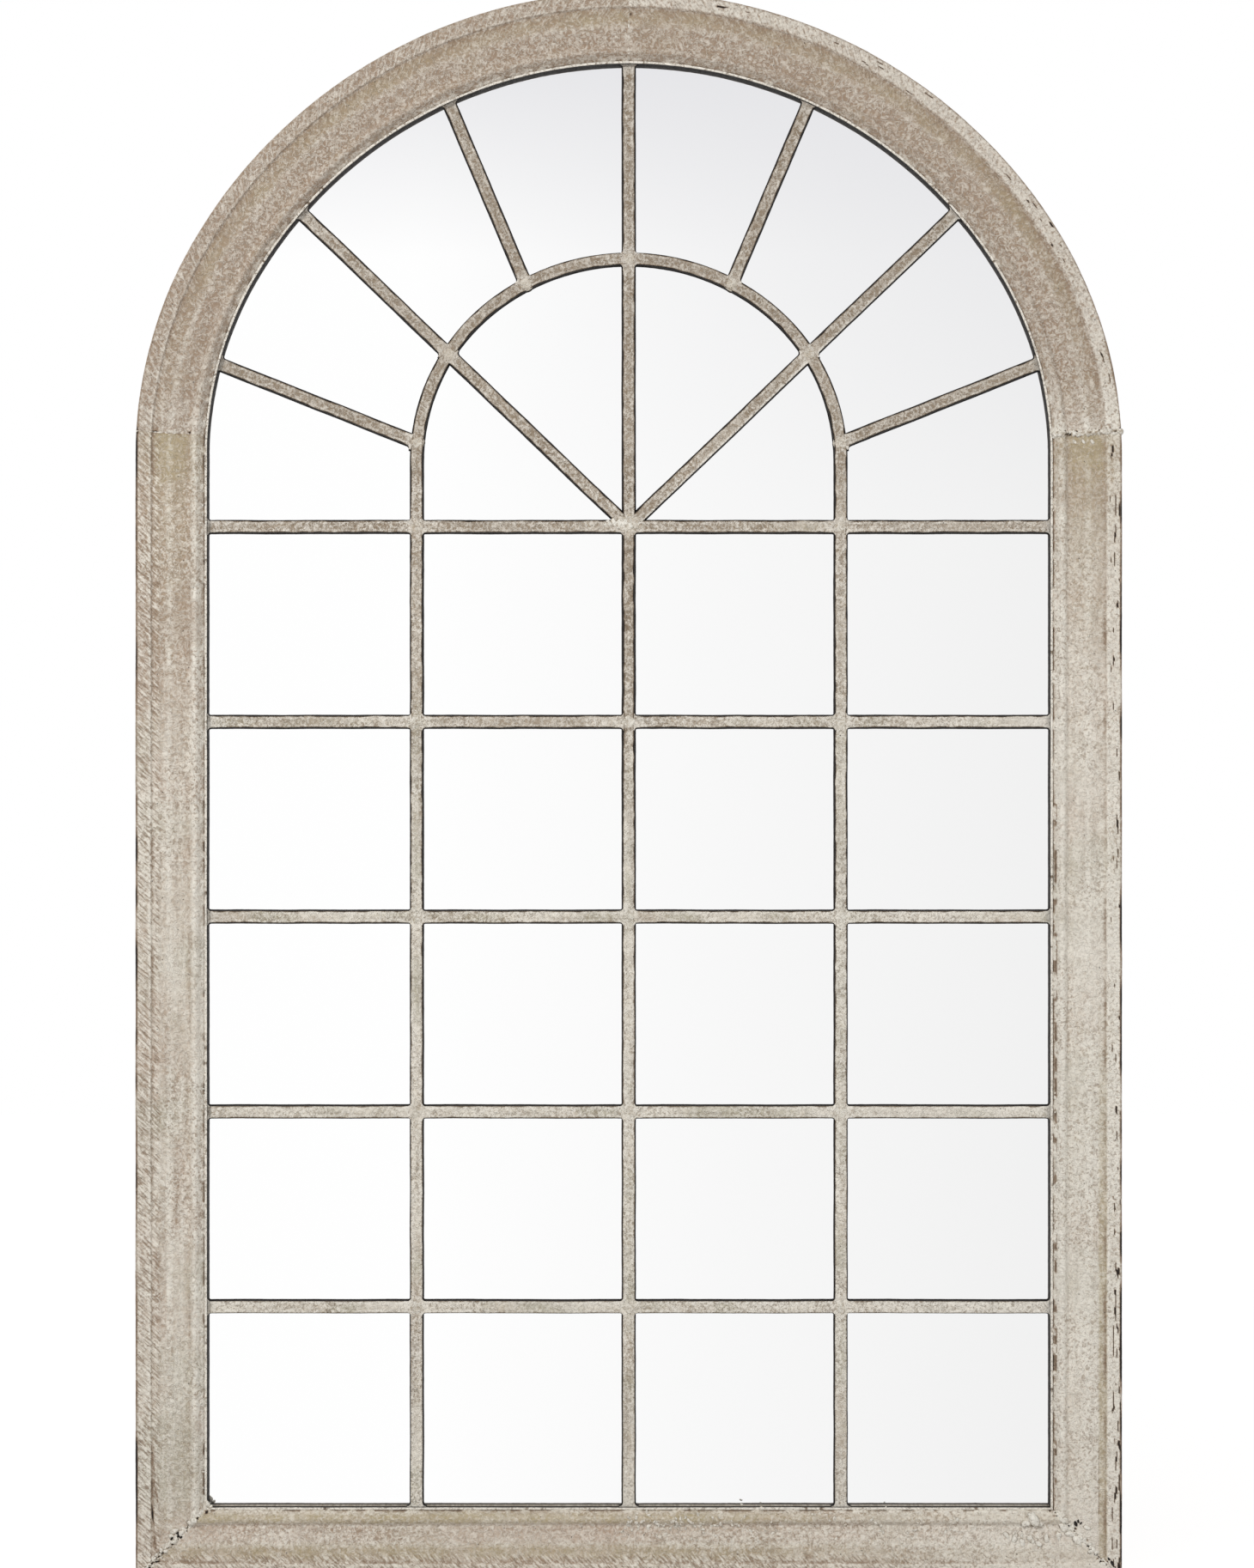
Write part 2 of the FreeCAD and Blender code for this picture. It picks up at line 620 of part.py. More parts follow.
plate_blanks = {
    "joint_plate_crown": crown_blank,
    "joint_plate_right": seam_blank,
    "joint_plate_left": mirrored("joint_plate_left_blank", seam_blank),
    "corner_plate_left": corner_body,
    "corner_plate_right": mirrored("corner_plate_right_blank", corner_body),
}
plates = {name: cut(name, blank, plate_screws) for name, blank in plate_blanks.items()}

# ---------------------------------------------------------------------------
# Hangers: a strap rolled into an eye, and a ring that swings in it
# ---------------------------------------------------------------------------
EYE_RADIUS = "(ring_wire_radius + ring_clearance)"
strap_flat = box("strap_flat", f"{HARDWARE_X} - strap_width / 2", BACK, f"{PIVOT_Z} - strap_length",
                 "strap_width", "strap_thick", "strap_length")
strap_roll = cylinder("strap_roll", f"{EYE_RADIUS} + strap_thick", "strap_width",
                      f"{HARDWARE_X} - strap_width / 2", PIVOT_Y, PIVOT_Z, "+X")
strap_neck = box("strap_neck", f"{HARDWARE_X} - strap_width / 2", BACK,
                 f"{PIVOT_Z} - {EYE_RADIUS} - strap_thick", "strap_width",
                 "strap_thick + ring_lift + ring_wire_radius", f"{EYE_RADIUS} + strap_thick")
eye = cylinder("strap_eye", EYE_RADIUS, "strap_width", f"{HARDWARE_X} - strap_width / 2",
               PIVOT_Y, PIVOT_Z, "+X")
strap_solid = fuse("strap_solid", [strap_flat, strap_roll, strap_neck])
strap_open = cut("strap_open", strap_solid, eye)
hanger_strap_right = cut("hanger_strap_right", strap_open, hanger_screws)
hanger_strap_left = mirrored("hanger_strap_left", hanger_strap_right)

ring_bow = doc.addObject("Part::Torus", "ring_bow")
bind(ring_bow, "Radius1", "ring_bow_radius")
bind(ring_bow, "Radius2", "ring_wire_radius")
ring_bow.Angle3 = 180
bind(ring_bow, "Placement",
     f"placement(vector({HARDWARE_X}; {PIVOT_Y}; {PIVOT_Z}); rotation(vector(1; 0; 0); -90))")
ring_bar = cylinder("ring_bar", "ring_wire_radius", "2 * ring_bow_radius",
                    f"{HARDWARE_X} - ring_bow_radius", PIVOT_Y, PIVOT_Z, "+X")
ring_parts = [ring_bow, ring_bar]
for sign in ("-", "+"):
    knee = doc.addObject("Part::Sphere", "ring_knee_inner" if sign == "-" else "ring_knee_outer")
    bind(knee, "Radius", "ring_wire_radius")
    bind(knee, "Placement", f"placement(vector({HARDWARE_X} {sign} ring_bow_radius; {PIVOT_Y}; {PIVOT_Z});"
                            " rotation(vector(0; 1; 0); 90))")
    ring_parts.append(knee)
hanger_ring_right = fuse("hanger_ring_right", ring_parts)
hanger_ring_left = mirrored("hanger_ring_left", hanger_ring_right)

# ---------------------------------------------------------------------------
# Bumpers
# ---------------------------------------------------------------------------
bumper = cylinder("bumper", "bumper_radius", "bumper_height", "0", "0", "0", "+Y")
wall_bumpers = copies("wall_bumpers", bumper, [
    (f"{sign}{HARDWARE_X}", BACK, height, "0")
    for height in ("bumper_low", f"{PIVOT_Z} - bumper_below_hanger") for sign in ("-", "")])

# ---------------------------------------------------------------------------
# Check every object, then write one file for each piece
# ---------------------------------------------------------------------------
doc.recompute()
failed = [item.Label for item in doc.Objects if {"Invalid", "Error"} & set(item.State)]
if failed:
    raise RuntimeError(f"failed objects: {failed}")

pieces = [*skins.values(), *cores.values(), liner_arch, liner_left, liner_right, liner_bottom,
          *uprights.values(), inner_arch, *crossbars, *spokes, mirror_glass, backing_board,
          fixing_clips, clip_screws, *plates.values(), plate_screws,
          hanger_strap_left, hanger_strap_right, hanger_screws,
          hanger_ring_left, hanger_ring_right, wall_bumpers]
for piece in pieces:
    shape = piece.Shape
    if shape.isNull() or not shape.isValid() or not shape.Solids:
        raise RuntimeError(f"{piece.Label} has no sound shape")

os.makedirs("parts", exist_ok=True)
for piece in pieces:
    piece.Shape.exportStep(f"parts/{piece.Label}.step")
    print(f"{piece.Label}: {len(piece.Shape.Solids)} solid(s), {piece.Shape.Volume / 1000:.1f} cm3")
print(len(pieces), "nodes")
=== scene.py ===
# %% [markdown]
# # Arched window mirror
#
# The real object is a tall mirror made like an old window: a pressed steel moulding round one
# sheet of mirror glass, a lattice of square steel bars laid on the glass, and a pale chalk paint
# over all of it, rubbed back and stained brown. The CAD model already holds every piece where it
# belongs. This script gives the pieces that show their hand-finished surface, in metres and in
# the CAD model's own frame: +X to the right, -Y to the front, +Z up.

# %% Load the CAD frame
import math
import random

import bmesh
import bpy
from mathutils import Matrix, Vector, noise


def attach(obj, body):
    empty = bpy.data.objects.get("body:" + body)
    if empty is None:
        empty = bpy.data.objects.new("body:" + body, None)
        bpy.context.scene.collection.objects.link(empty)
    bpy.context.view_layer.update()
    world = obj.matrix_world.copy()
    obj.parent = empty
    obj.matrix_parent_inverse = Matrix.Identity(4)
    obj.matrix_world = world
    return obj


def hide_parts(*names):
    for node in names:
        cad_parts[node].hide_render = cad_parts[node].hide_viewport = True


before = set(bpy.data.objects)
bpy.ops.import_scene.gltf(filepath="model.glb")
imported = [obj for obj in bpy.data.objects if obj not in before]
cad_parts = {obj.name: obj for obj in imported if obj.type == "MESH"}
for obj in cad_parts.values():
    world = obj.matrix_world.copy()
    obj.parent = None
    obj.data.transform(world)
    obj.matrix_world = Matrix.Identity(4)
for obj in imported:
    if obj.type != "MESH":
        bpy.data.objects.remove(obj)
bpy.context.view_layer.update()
MM = 0.001

# %% [markdown]
# ## Measures
#
# The outline of the frame is a three-centred arch: a straight side, a haunch arc that turns the
# corner, and a flatter crown arc. The inner arch of the lattice is drawn the same way. Writing
# each as a few numbers lets one function say how far a point lies inside the outline and how far
# along it, which every sweep and every painted band below uses.

# %% Measures, in millimetres
OUTER = {"half": 571.5, "spring": 1302.18, "haunch_x": 76.9, "haunch_r": 494.6,
         "crown_z": 1255.38, "crown_r": 584.62}
RING = {"half": 246.5, "spring": 1297.58, "haunch_x": 18.4, "haunch_r": 228.1,
        "crown_z": 1274.68, "crown_r": 257.48}
for arch in (OUTER, RING):
    arch["turn"] = math.atan2(arch["spring"] - arch["crown_z"], arch["haunch_x"])
BACK_Y = 18.9          # back face of the frame
OPENING = 82.0         # outline to the clear opening
LINER_IN = 79.5        # outline to the back of the lining strip
SEAM_TILT = math.radians(3.30)           # the butt seams lie this far round the haunch arcs
SEAM_ALONG = OUTER["spring"] + OUTER["haunch_r"] * SEAM_TILT
ROWS = [1220.8, 994.0, 767.3, 540.5, 313.8]      # heights of the crossbars
COLUMNS = [-246.5, 0.0, 246.5]                   # places of the uprights
HUB_Z = ROWS[0]        # the spokes start where the top crossbar meets the centre upright
BAR_HALF = 6.5         # half the width of a lattice bar


def arch_place(arch, x, z):
    """How far (x, z) lies inside an arch's outline, and how far up along it, in mm."""
    across = abs(x)
    if z <= arch["spring"]:
        return arch["half"] - across, z
    haunch = math.atan2(z - arch["spring"], across - arch["haunch_x"])
    if haunch < arch["turn"]:
        reach = math.hypot(across - arch["haunch_x"], z - arch["spring"])
        return arch["haunch_r"] - reach, arch["spring"] + arch["haunch_r"] * haunch
    crown = math.atan2(z - arch["crown_z"], across)
    reach = math.hypot(across, z - arch["crown_z"])
    along = arch["spring"] + arch["haunch_r"] * arch["turn"]
    return arch["crown_r"] - reach, along + arch["crown_r"] * (crown - arch["turn"])


print("length of half the outline, mm:", round(arch_place(OUTER, 0.001, 1839)[1], 1))

# %% [markdown]
# ## Making a piece
#
# Every piece is built in one bmesh, already in place, and then turned into an object that sits at
# the origin. The finish is steered by four point attributes: one says where brown wash gathers
# and where shade and shadow are painted on, one where the paint is rubbed to cream and where a
# highlight is painted on, one where a smooth khaki wash hides the grain, and `flow` holds the
# distance along and across the piece, so that streaks follow a bent moulding as they do on the
# real one. Two more layers, `skin` and `rank`, help the sweeps and are taken off again before
# the bmesh becomes a mesh.

# %% A piece and its attributes
PIECES = []


def new_mesh():
    """An empty bmesh with the layers that the paint reads."""
    bm = bmesh.new()
    for name in ("dirt_and_shade", "wear_and_highlight", "wash", "skin"):
        bm.verts.layers.float.new(name)
    bm.verts.layers.float_vector.new("flow")
    bm.verts.layers.int.new("rank")
    return bm


def paint_layers(bm):
    """The layers that the paint reads: dirt with painted shade, wear with painted highlight, wash
    and flow.
    """
    layers = bm.verts.layers
    return (*(layers.float[name] for name in ("dirt_and_shade", "wear_and_highlight", "wash")),
            layers.float_vector["flow"])


def add_part(bm, part):
    """Adds one bmesh to another and frees it."""
    mesh = bpy.data.meshes.new("part")
    part.to_mesh(mesh)
    part.free()
    bm.from_mesh(mesh)
    bpy.data.meshes.remove(mesh)


def finish_piece(name, bm, body, material, stands_for=(), smooth=True):
    """Turns a bmesh into a piece that rides on a body and stands for CAD nodes."""
    bmesh.ops.recalc_face_normals(bm, faces=bm.faces[:])
    for face in bm.faces:
        face.smooth = smooth
    bm.verts.layers.float.remove(bm.verts.layers.float["skin"])
    bm.verts.layers.int.remove(bm.verts.layers.int["rank"])
    mesh = bpy.data.meshes.new(name)
    bm.to_mesh(mesh)
    bm.free()
    piece = bpy.data.objects.new(name, mesh)
    bpy.context.scene.collection.objects.link(piece)
    mesh.materials.append(material)
    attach(piece, body)
    if stands_for:
        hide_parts(*stands_for)
    PIECES.append(piece)
    triangles = sum(len(p.vertices) - 2 for p in mesh.polygons)
    print(f"{name}: {triangles} triangles")


def read_band(table, at):
    """A value from a table of (place, value) pairs, straight between them."""
    if at <= table[0][0]:
        return table[0][1]
    for (a, low), (b, high) in zip(table, table[1:]):
        if at <= b:
            return low + (high - low) * (at - a) / (b - a)
    return table[-1][1]


def share(value):
    """A value held between 0 and 1."""
    return min(1.0, max(0.0, value))


def lump(x, y, z, size, seed=0.0):
    """Smooth noise from -1 to 1 whose lumps are about `size` mm apart."""
    return noise.noise(Vector((x / size + seed, y / size + seed * 1.7, z / size - seed)))


# %% [markdown]
# ## Sweeping a section
#
# Pressed mouldings and bars are one section carried along a line or round an arc, so a sweep is
# the natural way to make them. The spin operator does both: with an angle it turns the section
# about a centre, and with an angle of zero and a step it pushes it straight. A hand-filled
# surface needs points every two millimetres, and finer ones near a joint. Spinning hundreds of
# small steps is slow, because every step looks at the whole mesh again, so the sweep is made in
# a few long steps first and all its lengthwise edges are then subdivided at once.

# %% Sections and sweeps
SPACING = 2.1          # mm between points along a piece
FINE_RUN = (6.0, 9)    # a step of 6 mm with 9 cuts, next to a joint
ARC_STEP = 12.0        # on the tightest arc a chord of 12 mm is 0.08 mm off
LINE_STEP = 50.0


def section_wire(bm, corners, rounding, longest):
    """A closed loop of edges through `corners`, given as (x, y, z) in mm, with rounded corners."""
    verts = [bm.verts.new(Vector(c) * MM) for c in corners]
    bm.faces.new(verts)
    for vert, radius in zip(verts, rounding):
        if radius:
            bmesh.ops.bevel(bm, geom=[vert], offset=radius * MM, offset_type="OFFSET",
                            segments=4, profile=0.5, affect="VERTICES", material=-1)
    skin = bm.verts.layers.float["skin"]
    bare = [Vector(c) * MM for c, radius in zip(corners, rounding) if radius is None]
    for vert in bm.verts:
        vert[skin] = 0.0 if any((vert.co - b).length < 1e-5 for b in bare) else 1.0
    for edge in list(bm.edges):
        cuts = int(edge.calc_length() / (longest * MM))
        if cuts and edge.verts[0][skin] > 0.5 and edge.verts[1][skin] > 0.5:
            bmesh.ops.subdivide_edges(bm, edges=[edge], cuts=cuts)
    bmesh.ops.delete(bm, geom=bm.faces[:], context="FACES_ONLY")
    rank = bm.verts.layers.int["rank"]
    for index, vert in enumerate(bm.verts):
        vert[rank] = index
    return bm.verts[:] + bm.edges[:]


def line_run(way, length, fine=(True, True)):
    """Rows of a sweep that go straight along `way`, a length in mm."""
    middle = length - FINE_RUN[0] * sum(fine)
    count = max(1, round(middle / LINE_STEP))
    step = Vector(way) * MM
    end = (1, FINE_RUN[1], {"dvec": step * FINE_RUN[0], "angle": 0.0})
    main = (count, max(0, round(middle / count / SPACING) - 1),
            {"dvec": step * (middle / count), "angle": 0.0})
    return [end] * fine[0] + [main] + [end] * fine[1]


def arc_run(centre_x, centre_z, radius, angle, fine=(False, False)):
    """Rows of a sweep that go round an arc whose axis runs front to back."""
    centre = Vector((centre_x, 0, centre_z)) * MM
    middle = angle - FINE_RUN[0] / radius * sum(fine)
    count = max(1, round(middle * radius / ARC_STEP))
    end = (1, FINE_RUN[1], {"cent": centre, "angle": FINE_RUN[0] / radius})
    main = (count, max(0, round(middle * radius / count / SPACING) - 1),
            {"cent": centre, "angle": middle})
    return [end] * fine[0] + [main] + [end] * fine[1]


def sweep(bm, live, plan):
    """Carries a section along every row (count, cuts, spin settings), then cuts it fine."""
    rank = bm.verts.layers.int["rank"]
    to_cut = []
    for count, cuts, settings in plan:
        old = set(bm.edges)
        made = bmesh.ops.spin(bm, geom=live, axis=(0, 1, 0), steps=count, **settings)
        live = [g for g in made["geom_last"] if not isinstance(g, bmesh.types.BMFace)]
        to_cut.append((cuts, [e for e in bm.edges
                              if e not in old and e.verts[0][rank] == e.verts[1][rank]]))
    for cuts, edges in to_cut:
        if cuts:
            bmesh.ops.subdivide_edges(bm, edges=edges, cuts=cuts)


def over_the_top(arch):
    """Rows of a sweep that follow a whole three-centred arch from left spring to right."""
    return (arc_run(-arch["haunch_x"], arch["spring"], arch["haunch_r"], arch["turn"])
            + arc_run(0, arch["crown_z"], arch["crown_r"], math.pi - 2 * arch["turn"])
            + arc_run(arch["haunch_x"], arch["spring"], arch["haunch_r"], arch["turn"]))


def close_ends(bm):
    """Fills the open ends of a sweep."""
    rim = [e for e in bm.edges if e.is_boundary]
    bmesh.ops.holes_fill(bm, edges=rim, sides=0)
    bmesh.ops.recalc_face_normals(bm, faces=bm.faces[:])


def cut_at(bm, point, normal):
    """Cuts away what lies on the normal's side of a plane."""
    bmesh.ops.bisect_plane(bm, geom=bm.verts[:] + bm.edges[:] + bm.faces[:],
                           plane_co=Vector(point) * MM, plane_no=normal, clear_outer=True)


# %% [markdown]
# ## Nodes
#
# One small function adds a shader node. Sockets are named or numbered, and a value is either a
# number or another node's output. Colours are written as the sRGB hex value that a paint card
# shows, and one function turns them into the linear light that shaders work in.

# %% Colour and node helpers
def hex_colour(text):
    """sRGB hex to linear colour."""
    out = []
    for i in (0, 2, 4):
        c = int(text[i:i + 2], 16) / 255
        out.append(c / 12.92 if c <= 0.04045 else ((c + 0.055) / 1.055) ** 2.4)
    return (*out, 1.0)


def add_node(tree, kind, sockets=None, stops=None, **settings):
    """Adds a node, sets its options, and sets or links its input sockets."""
    made = tree.nodes.new(kind)
    for name, value in settings.items():
        setattr(made, name, value)
    for key, value in (sockets or {}).items():
        if isinstance(value, bpy.types.NodeSocket):
            tree.links.new(value, made.inputs[key])
        else:
            made.inputs[key].default_value = value
    if stops:
        ramp = made.color_ramp.elements
        while len(ramp) < len(stops):
            ramp.new(0.5)
        for element, (place, colour) in zip(ramp, stops):
            element.position = place
            element.color = colour
    return made


def new_material(name):
    """A material with an empty tree, and the tree."""
    material = bpy.data.materials.new(name)
    material.use_nodes = True
    material.node_tree.nodes.clear()
    return material, material.node_tree


def end_material(tree, shader):
    """Links a shader to the material's output."""
    tree.links.new(shader.outputs[0], add_node(tree, "ShaderNodeOutputMaterial").inputs[0])


def grey(value):
    """A neutral colour in linear light."""
    return (value, value, value, 1.0)


# %% [markdown]
# ## Distressed chalk paint on steel
#
# Chalk paint is brushed on thick over steel, dabbed while wet so that it dries with a sandy grain,
# stained with pinkish brown and khaki washes, and rubbed back on the edges. The eye sees a matt
# surface: greige with soft patches a hand wide, a mottle of about 8 mm, a sharp grain of about
# 3 mm, cream on every arris, brown in every groove, and small black pits where the paint missed.
# The patches are stretched along the piece, as a wiping rag leaves them.

# %% Rows of a paint recipe
# A STEP rises softly from 0 at one value of its source to a most at another. A COAT lays a colour
# over another by a mask. Any other kind is arithmetic on two values, held between 0 and 1.
KINDS = {"STEP": ("ShaderNodeMapRange", ("Value", "From Min", "From Max", "To Max"), 0,
                  {"interpolation_type": "SMOOTHSTEP"}),
         "COAT": ("ShaderNodeMix", (6, 7, "Factor"), 2, {"data_type": "RGBA"})}


def follow(tree, made, recipe):
    """Adds a node for each row (name, kind, values). A value in words names an earlier result."""
    for name, kind, *values in recipe:
        node, sockets, output, settings = KINDS.get(
            kind, ("ShaderNodeMath", (0, 1), 0, {"operation": kind, "use_clamp": True}))
        given = {socket: made[value] if isinstance(value, str) else value
                 for socket, value in zip(sockets, values)}
        made[name] = add_node(tree, node, given, **settings).outputs[output]


# %% [markdown]
# The paint is written as four tables. The patterns are noises, each with the size of its lumps in
# millimetres. The masks say where a finish belongs: on the arch, to the right, in a pit. The coats
# are laid in the order of the work: wiped patches, washes, the mottle of dabs, sandy grain, and
# last the dirt together with the painted shade.
# The relief adds the patterns up to a bump. Each table is one loop.

# %% Tables of the paint
PATTERNS = [
    # name, read along, lumps in mm, detail, roughness, distortion
    ("patches", "wiped", 42, 4.0, 0.6, 0.0),
    ("clouds", "place", 95, 3.0, 0.55, 0.0),
    ("dabs", "wiped", 17, 3.0, 0.6, 0.0),
    ("stains", "wiped", 7, 3.0, 0.65, 0.0),
    ("bands", "brushed", 10, 2.0, 0.5, 0.0),
    ("uneven", "place", 130, 2.0, 0.6, 0.0),
    ("mottle", "place", 8.5, 4.0, 0.68, 0.0),
    ("smoothed", "place", 115, 2.0, 0.6, 0.0),
    ("worm", "place", 7.5, 1.5, 0.5, 1.3),
]
MASKS = [
    ("right", "STEP", "x", 0.1, 0.5, 0.7),
    ("low", "STEP", "z", 1.3, 1.1, 1.0),
    ("paler", "MULTIPLY", "right", "low"),
    # the grain is fainter over the arch, and where a wet brush smoothed it
    ("calm", "STEP", "z", 1.42, 1.24, 0.4),
    ("calm", "ADD", "calm", 0.6),
    ("busy", "STEP", "smoothed", 0.40, 0.58, 0.62),
    ("busy", "ADD", "busy", 0.42),
    ("busy", "MULTIPLY", "busy", "calm"),
    # worm-like ridges left by the dabbing brush
    ("fold", "PINGPONG", "worm", 0.5),
    ("ridge", "STEP", "fold", 0.41, 0.49, 1.0),
    # dirt and painted shade are heavier where the grain is low
    ("stain_and_shade", "STEP", "grain", 0.75, 0.25, 0.45),
    ("stain_and_shade", "ADD", "dirt_and_shade", "stain_and_shade"),
    ("stain_and_shade", "MULTIPLY", "dirt_and_shade", "stain_and_shade"),
    # small pits where the paint missed the steel: one cell in fifteen has one
    ("missed", "STEP", "chance", 0.925, 0.94, 1.0),
    ("hole", "STEP", "distance", 0.15, 0.06, 1.0),
    ("hole", "MULTIPLY", "hole", "missed"),
]
PIT_SPACING = 6.0                        # mm between the cells that may hold a pit
STROKE_BAND = (1.2, 2.6, 25.0, 32.0)     # mm in from the outer edge: fades in, then out
STROKE_FADE_IN, STROKE_FULL, STROKE_STILL, STROKE_GONE = (edge * MM for edge in STROKE_BAND)
STROKE_MASKS = [
    ("band", "STEP", "across", STROKE_FADE_IN, STROKE_FULL, 1.0),
    ("inner", "STEP", "across", STROKE_GONE, STROKE_STILL, 1.0),
    ("band", "MULTIPLY", "band", "inner"),
    ("band", "MULTIPLY", "band", "calm"),
    ("left", "STEP", "x", 0.45, 0.25, 1.0),
    ("left", "MULTIPLY", "band", "left"),
]
COATS = [
    # colour, pattern, its value where the coat starts and where it is full, the most, within
    ("warm", "patches", 0.47, 0.66, 0.75),
    ("cool", "clouds", 0.47, 0.62, 0.8),
    ("cream", "dabs", 0.52, 0.68, 0.45),
    ("brown", "stains", 0.54, 0.76, 0.35),
    ("cream", "bands", 0.52, 0.68, 0.4),
    ("brown", "bands", 0.48, 0.32, 0.42),
    # thicker wash over the arch and on the bottom rail, paler on the right-hand side
    ("warm", "height", 1.30, 1.70, "tanned"),
    ("brown", "height", 1.42, 2.0, "smoky"),
    ("warm", "z", 0.1, 0.05, 0.5),
    ("cream", "uneven", 0.3, 0.6, 1.0, "paler"),
    # the mottle, cream where the paint is rubbed and where a highlight is painted, the sandy
    # grain, the ridges, and the khaki wash that hides them
    ("brown", "mottle", 0.53, 0.68, 0.25),
    ("cream", "mottle", 0.47, 0.33, 0.28),
    ("cream", "grain", 0.25, 0.55, 1.0, "wear_and_highlight"),
    ("cream", "grain", 0.51, 0.62, 0.64, "busy"),
    ("brown", "grain", 0.49, 0.38, 0.6, "busy"),
    ("cream", "fold", 0.41, 0.49, 0.38),
    ("khaki", "grain", 1.0, 0.2, 1.0, "wash"),
]
STROKE_COATS = [("brown", "stroke", 0.47, 0.35, 0.72, "left"),
                ("cream", "stroke", 0.53, 0.64, 0.6, "left")]
# brown and then black where dirt lies and where shade is painted on, and black in the pits
STAIN_AND_SHADE_COATS = [("brown", "stain_and_shade", 0.03, 0.6, 0.95),
              ("black", "stain_and_shade", 0.55, 0.95, 1.0),
              ("black", "distance", 0.15, 0.06, 0.7, "missed")]
RELIEF = [("mottle", 0.3, "ADD"), ("ridge", 0.22, "ADD")]
STROKE_RELIEF = [("stroke", 0.8, "ADD", "left")]
PIT_RELIEF = [("hole", 0.5, "SUBTRACT")]
print("rows of the paint:", len(PATTERNS), "patterns,", len(COATS), "coats")


# %% Chalk paint
def chalk_paint(name, colours, grain_mm=3.6, smoky=0.4, tanned=0.85, strokes=False):
    """Chalk paint from named hex colours. `tanned` and `smoky` say how dark the arch gets."""
    material, tree = new_material(name)
    made = {key: hex_colour(text) for key, text in colours.items()}
    made.update(colour=made["base"], tanned=tanned, smoky=smoky)
    made["place"] = add_node(tree, "ShaderNodeTexCoord").outputs["Object"]
    flow = add_node(tree, "ShaderNodeAttribute", attribute_name="flow").outputs["Vector"]
    for key in ("dirt_and_shade", "wear_and_highlight", "wash"):
        made[key] = add_node(tree, "ShaderNodeAttribute", attribute_name=key).outputs["Fac"]
    axes = add_node(tree, "ShaderNodeSeparateXYZ", {0: made["place"]}).outputs
    made["x"], made["z"] = axes[0], axes[2]
    # the rag draws patches out four times along the piece, the brush about sixteen times
    for key, squeeze in (("wiped", 0.25), ("brushed", 0.06)):
        made[key] = add_node(tree, "ShaderNodeMapping", {
            "Vector": flow, "Scale": (squeeze, 1.0, 1.0)}).outputs[0]
    patterns = PATTERNS + [("grain", "place", grain_mm, 2.5, 0.6, 0.7)]
    if strokes:
        # a stroke is seven times as long as wide, and slants across the piece
        made["across"] = add_node(tree, "ShaderNodeSeparateXYZ", {0: flow}).outputs[1]
        made["slanted"] = add_node(tree, "ShaderNodeMapping", {
            "Vector": flow, "Rotation": (0, 0, math.radians(42)), "Scale": (1.0, 7.0, 1.0)},
            vector_type="TEXTURE").outputs[0]
        patterns += [("stroke", "slanted", 2.2, 2.0, 0.5, 0.0)]
    for key, along, size_mm, detail, roughness, distortion in patterns:
        made[key] = add_node(tree, "ShaderNodeTexNoise", {
            "Vector": made[along], "Scale": 1 / (size_mm * MM), "Detail": detail,
            "Roughness": roughness, "Distortion": distortion}).outputs[0]
    cells = add_node(tree, "ShaderNodeTexVoronoi", {"Vector": made["place"],
                                                    "Scale": 1 / (PIT_SPACING * MM)})
    made["distance"] = cells.outputs["Distance"]
    made["chance"] = add_node(tree, "ShaderNodeSeparateColor",
                              {0: cells.outputs["Color"]}).outputs[0]
    made["height"] = add_node(tree, "ShaderNodeMath", {0: made["z"], 1: made["uneven"]},
                              operation="ADD").outputs[0]
    follow(tree, made, MASKS + STROKE_MASKS * strokes)
    for coat, pattern, start, full, most, *within in COATS + STROKE_COATS * strokes + STAIN_AND_SHADE_COATS:
        follow(tree, made, [("mask", "STEP", pattern, start, full, most)]
               + [("mask", "MULTIPLY", "mask", limit) for limit in within]
               + [("colour", "COAT", "colour", coat, "mask")])
    follow(tree, made, [("relief", "MULTIPLY", "grain", 0.5)])
    for pattern, tall, operation, *within in RELIEF + STROKE_RELIEF * strokes + PIT_RELIEF:
        follow(tree, made, [("lift", "MULTIPLY", pattern, tall)]
               + [("lift", "MULTIPLY", "lift", limit) for limit in within]
               + [("relief", operation, "relief", "lift")])
    bump = add_node(tree, "ShaderNodeBump", {"Strength": 1.0, "Distance": 2.2 * MM,
                                             "Height": made["relief"]})
    rough = add_node(tree, "ShaderNodeMapRange", {"Value": made["grain"], "From Min": 0.3,
                                                  "From Max": 0.7, "To Min": 0.85,
                                                  "To Max": 0.62})
    end_material(tree, add_node(tree, "ShaderNodeBsdfPrincipled",
                                {"Base Color": made["colour"], "Roughness": rough.outputs[0],
                                 "Normal": bump.outputs[0], "Specular IOR Level": 0.35}))
    print(f"{name}: {len(tree.nodes)} nodes")
    return material


moulding_paint = chalk_paint("chalk_paint_on_pressed_steel", {
    "base": "d1c5b5", "warm": "b9a28f", "cool": "b7af9c", "cream": "eee8dc", "brown": "917c68",
    "black": "241d18", "khaki": "b3a484"}, smoky=0.7, strokes=True)
bar_paint = chalk_paint("chalk_paint_on_square_bar", {
    "base": "e2dacb", "warm": "b3a491", "cool": "b4ae9a", "cream": "f1ebe0", "brown": "7e6d5a",
    "black": "1c1612", "khaki": "b3a484"}, grain_mm=3.0, smoky=0.72)
filler_paint = chalk_paint("chalk_paint_on_body_filler", {
    "base": "d2cabb", "warm": "c0b19e", "cool": "bfb9a8", "cream": "f0ebe0", "brown": "9b8b76",
    "black": "1f1915", "khaki": "b3a484"}, grain_mm=3.8, smoky=0.25, tanned=0.5)

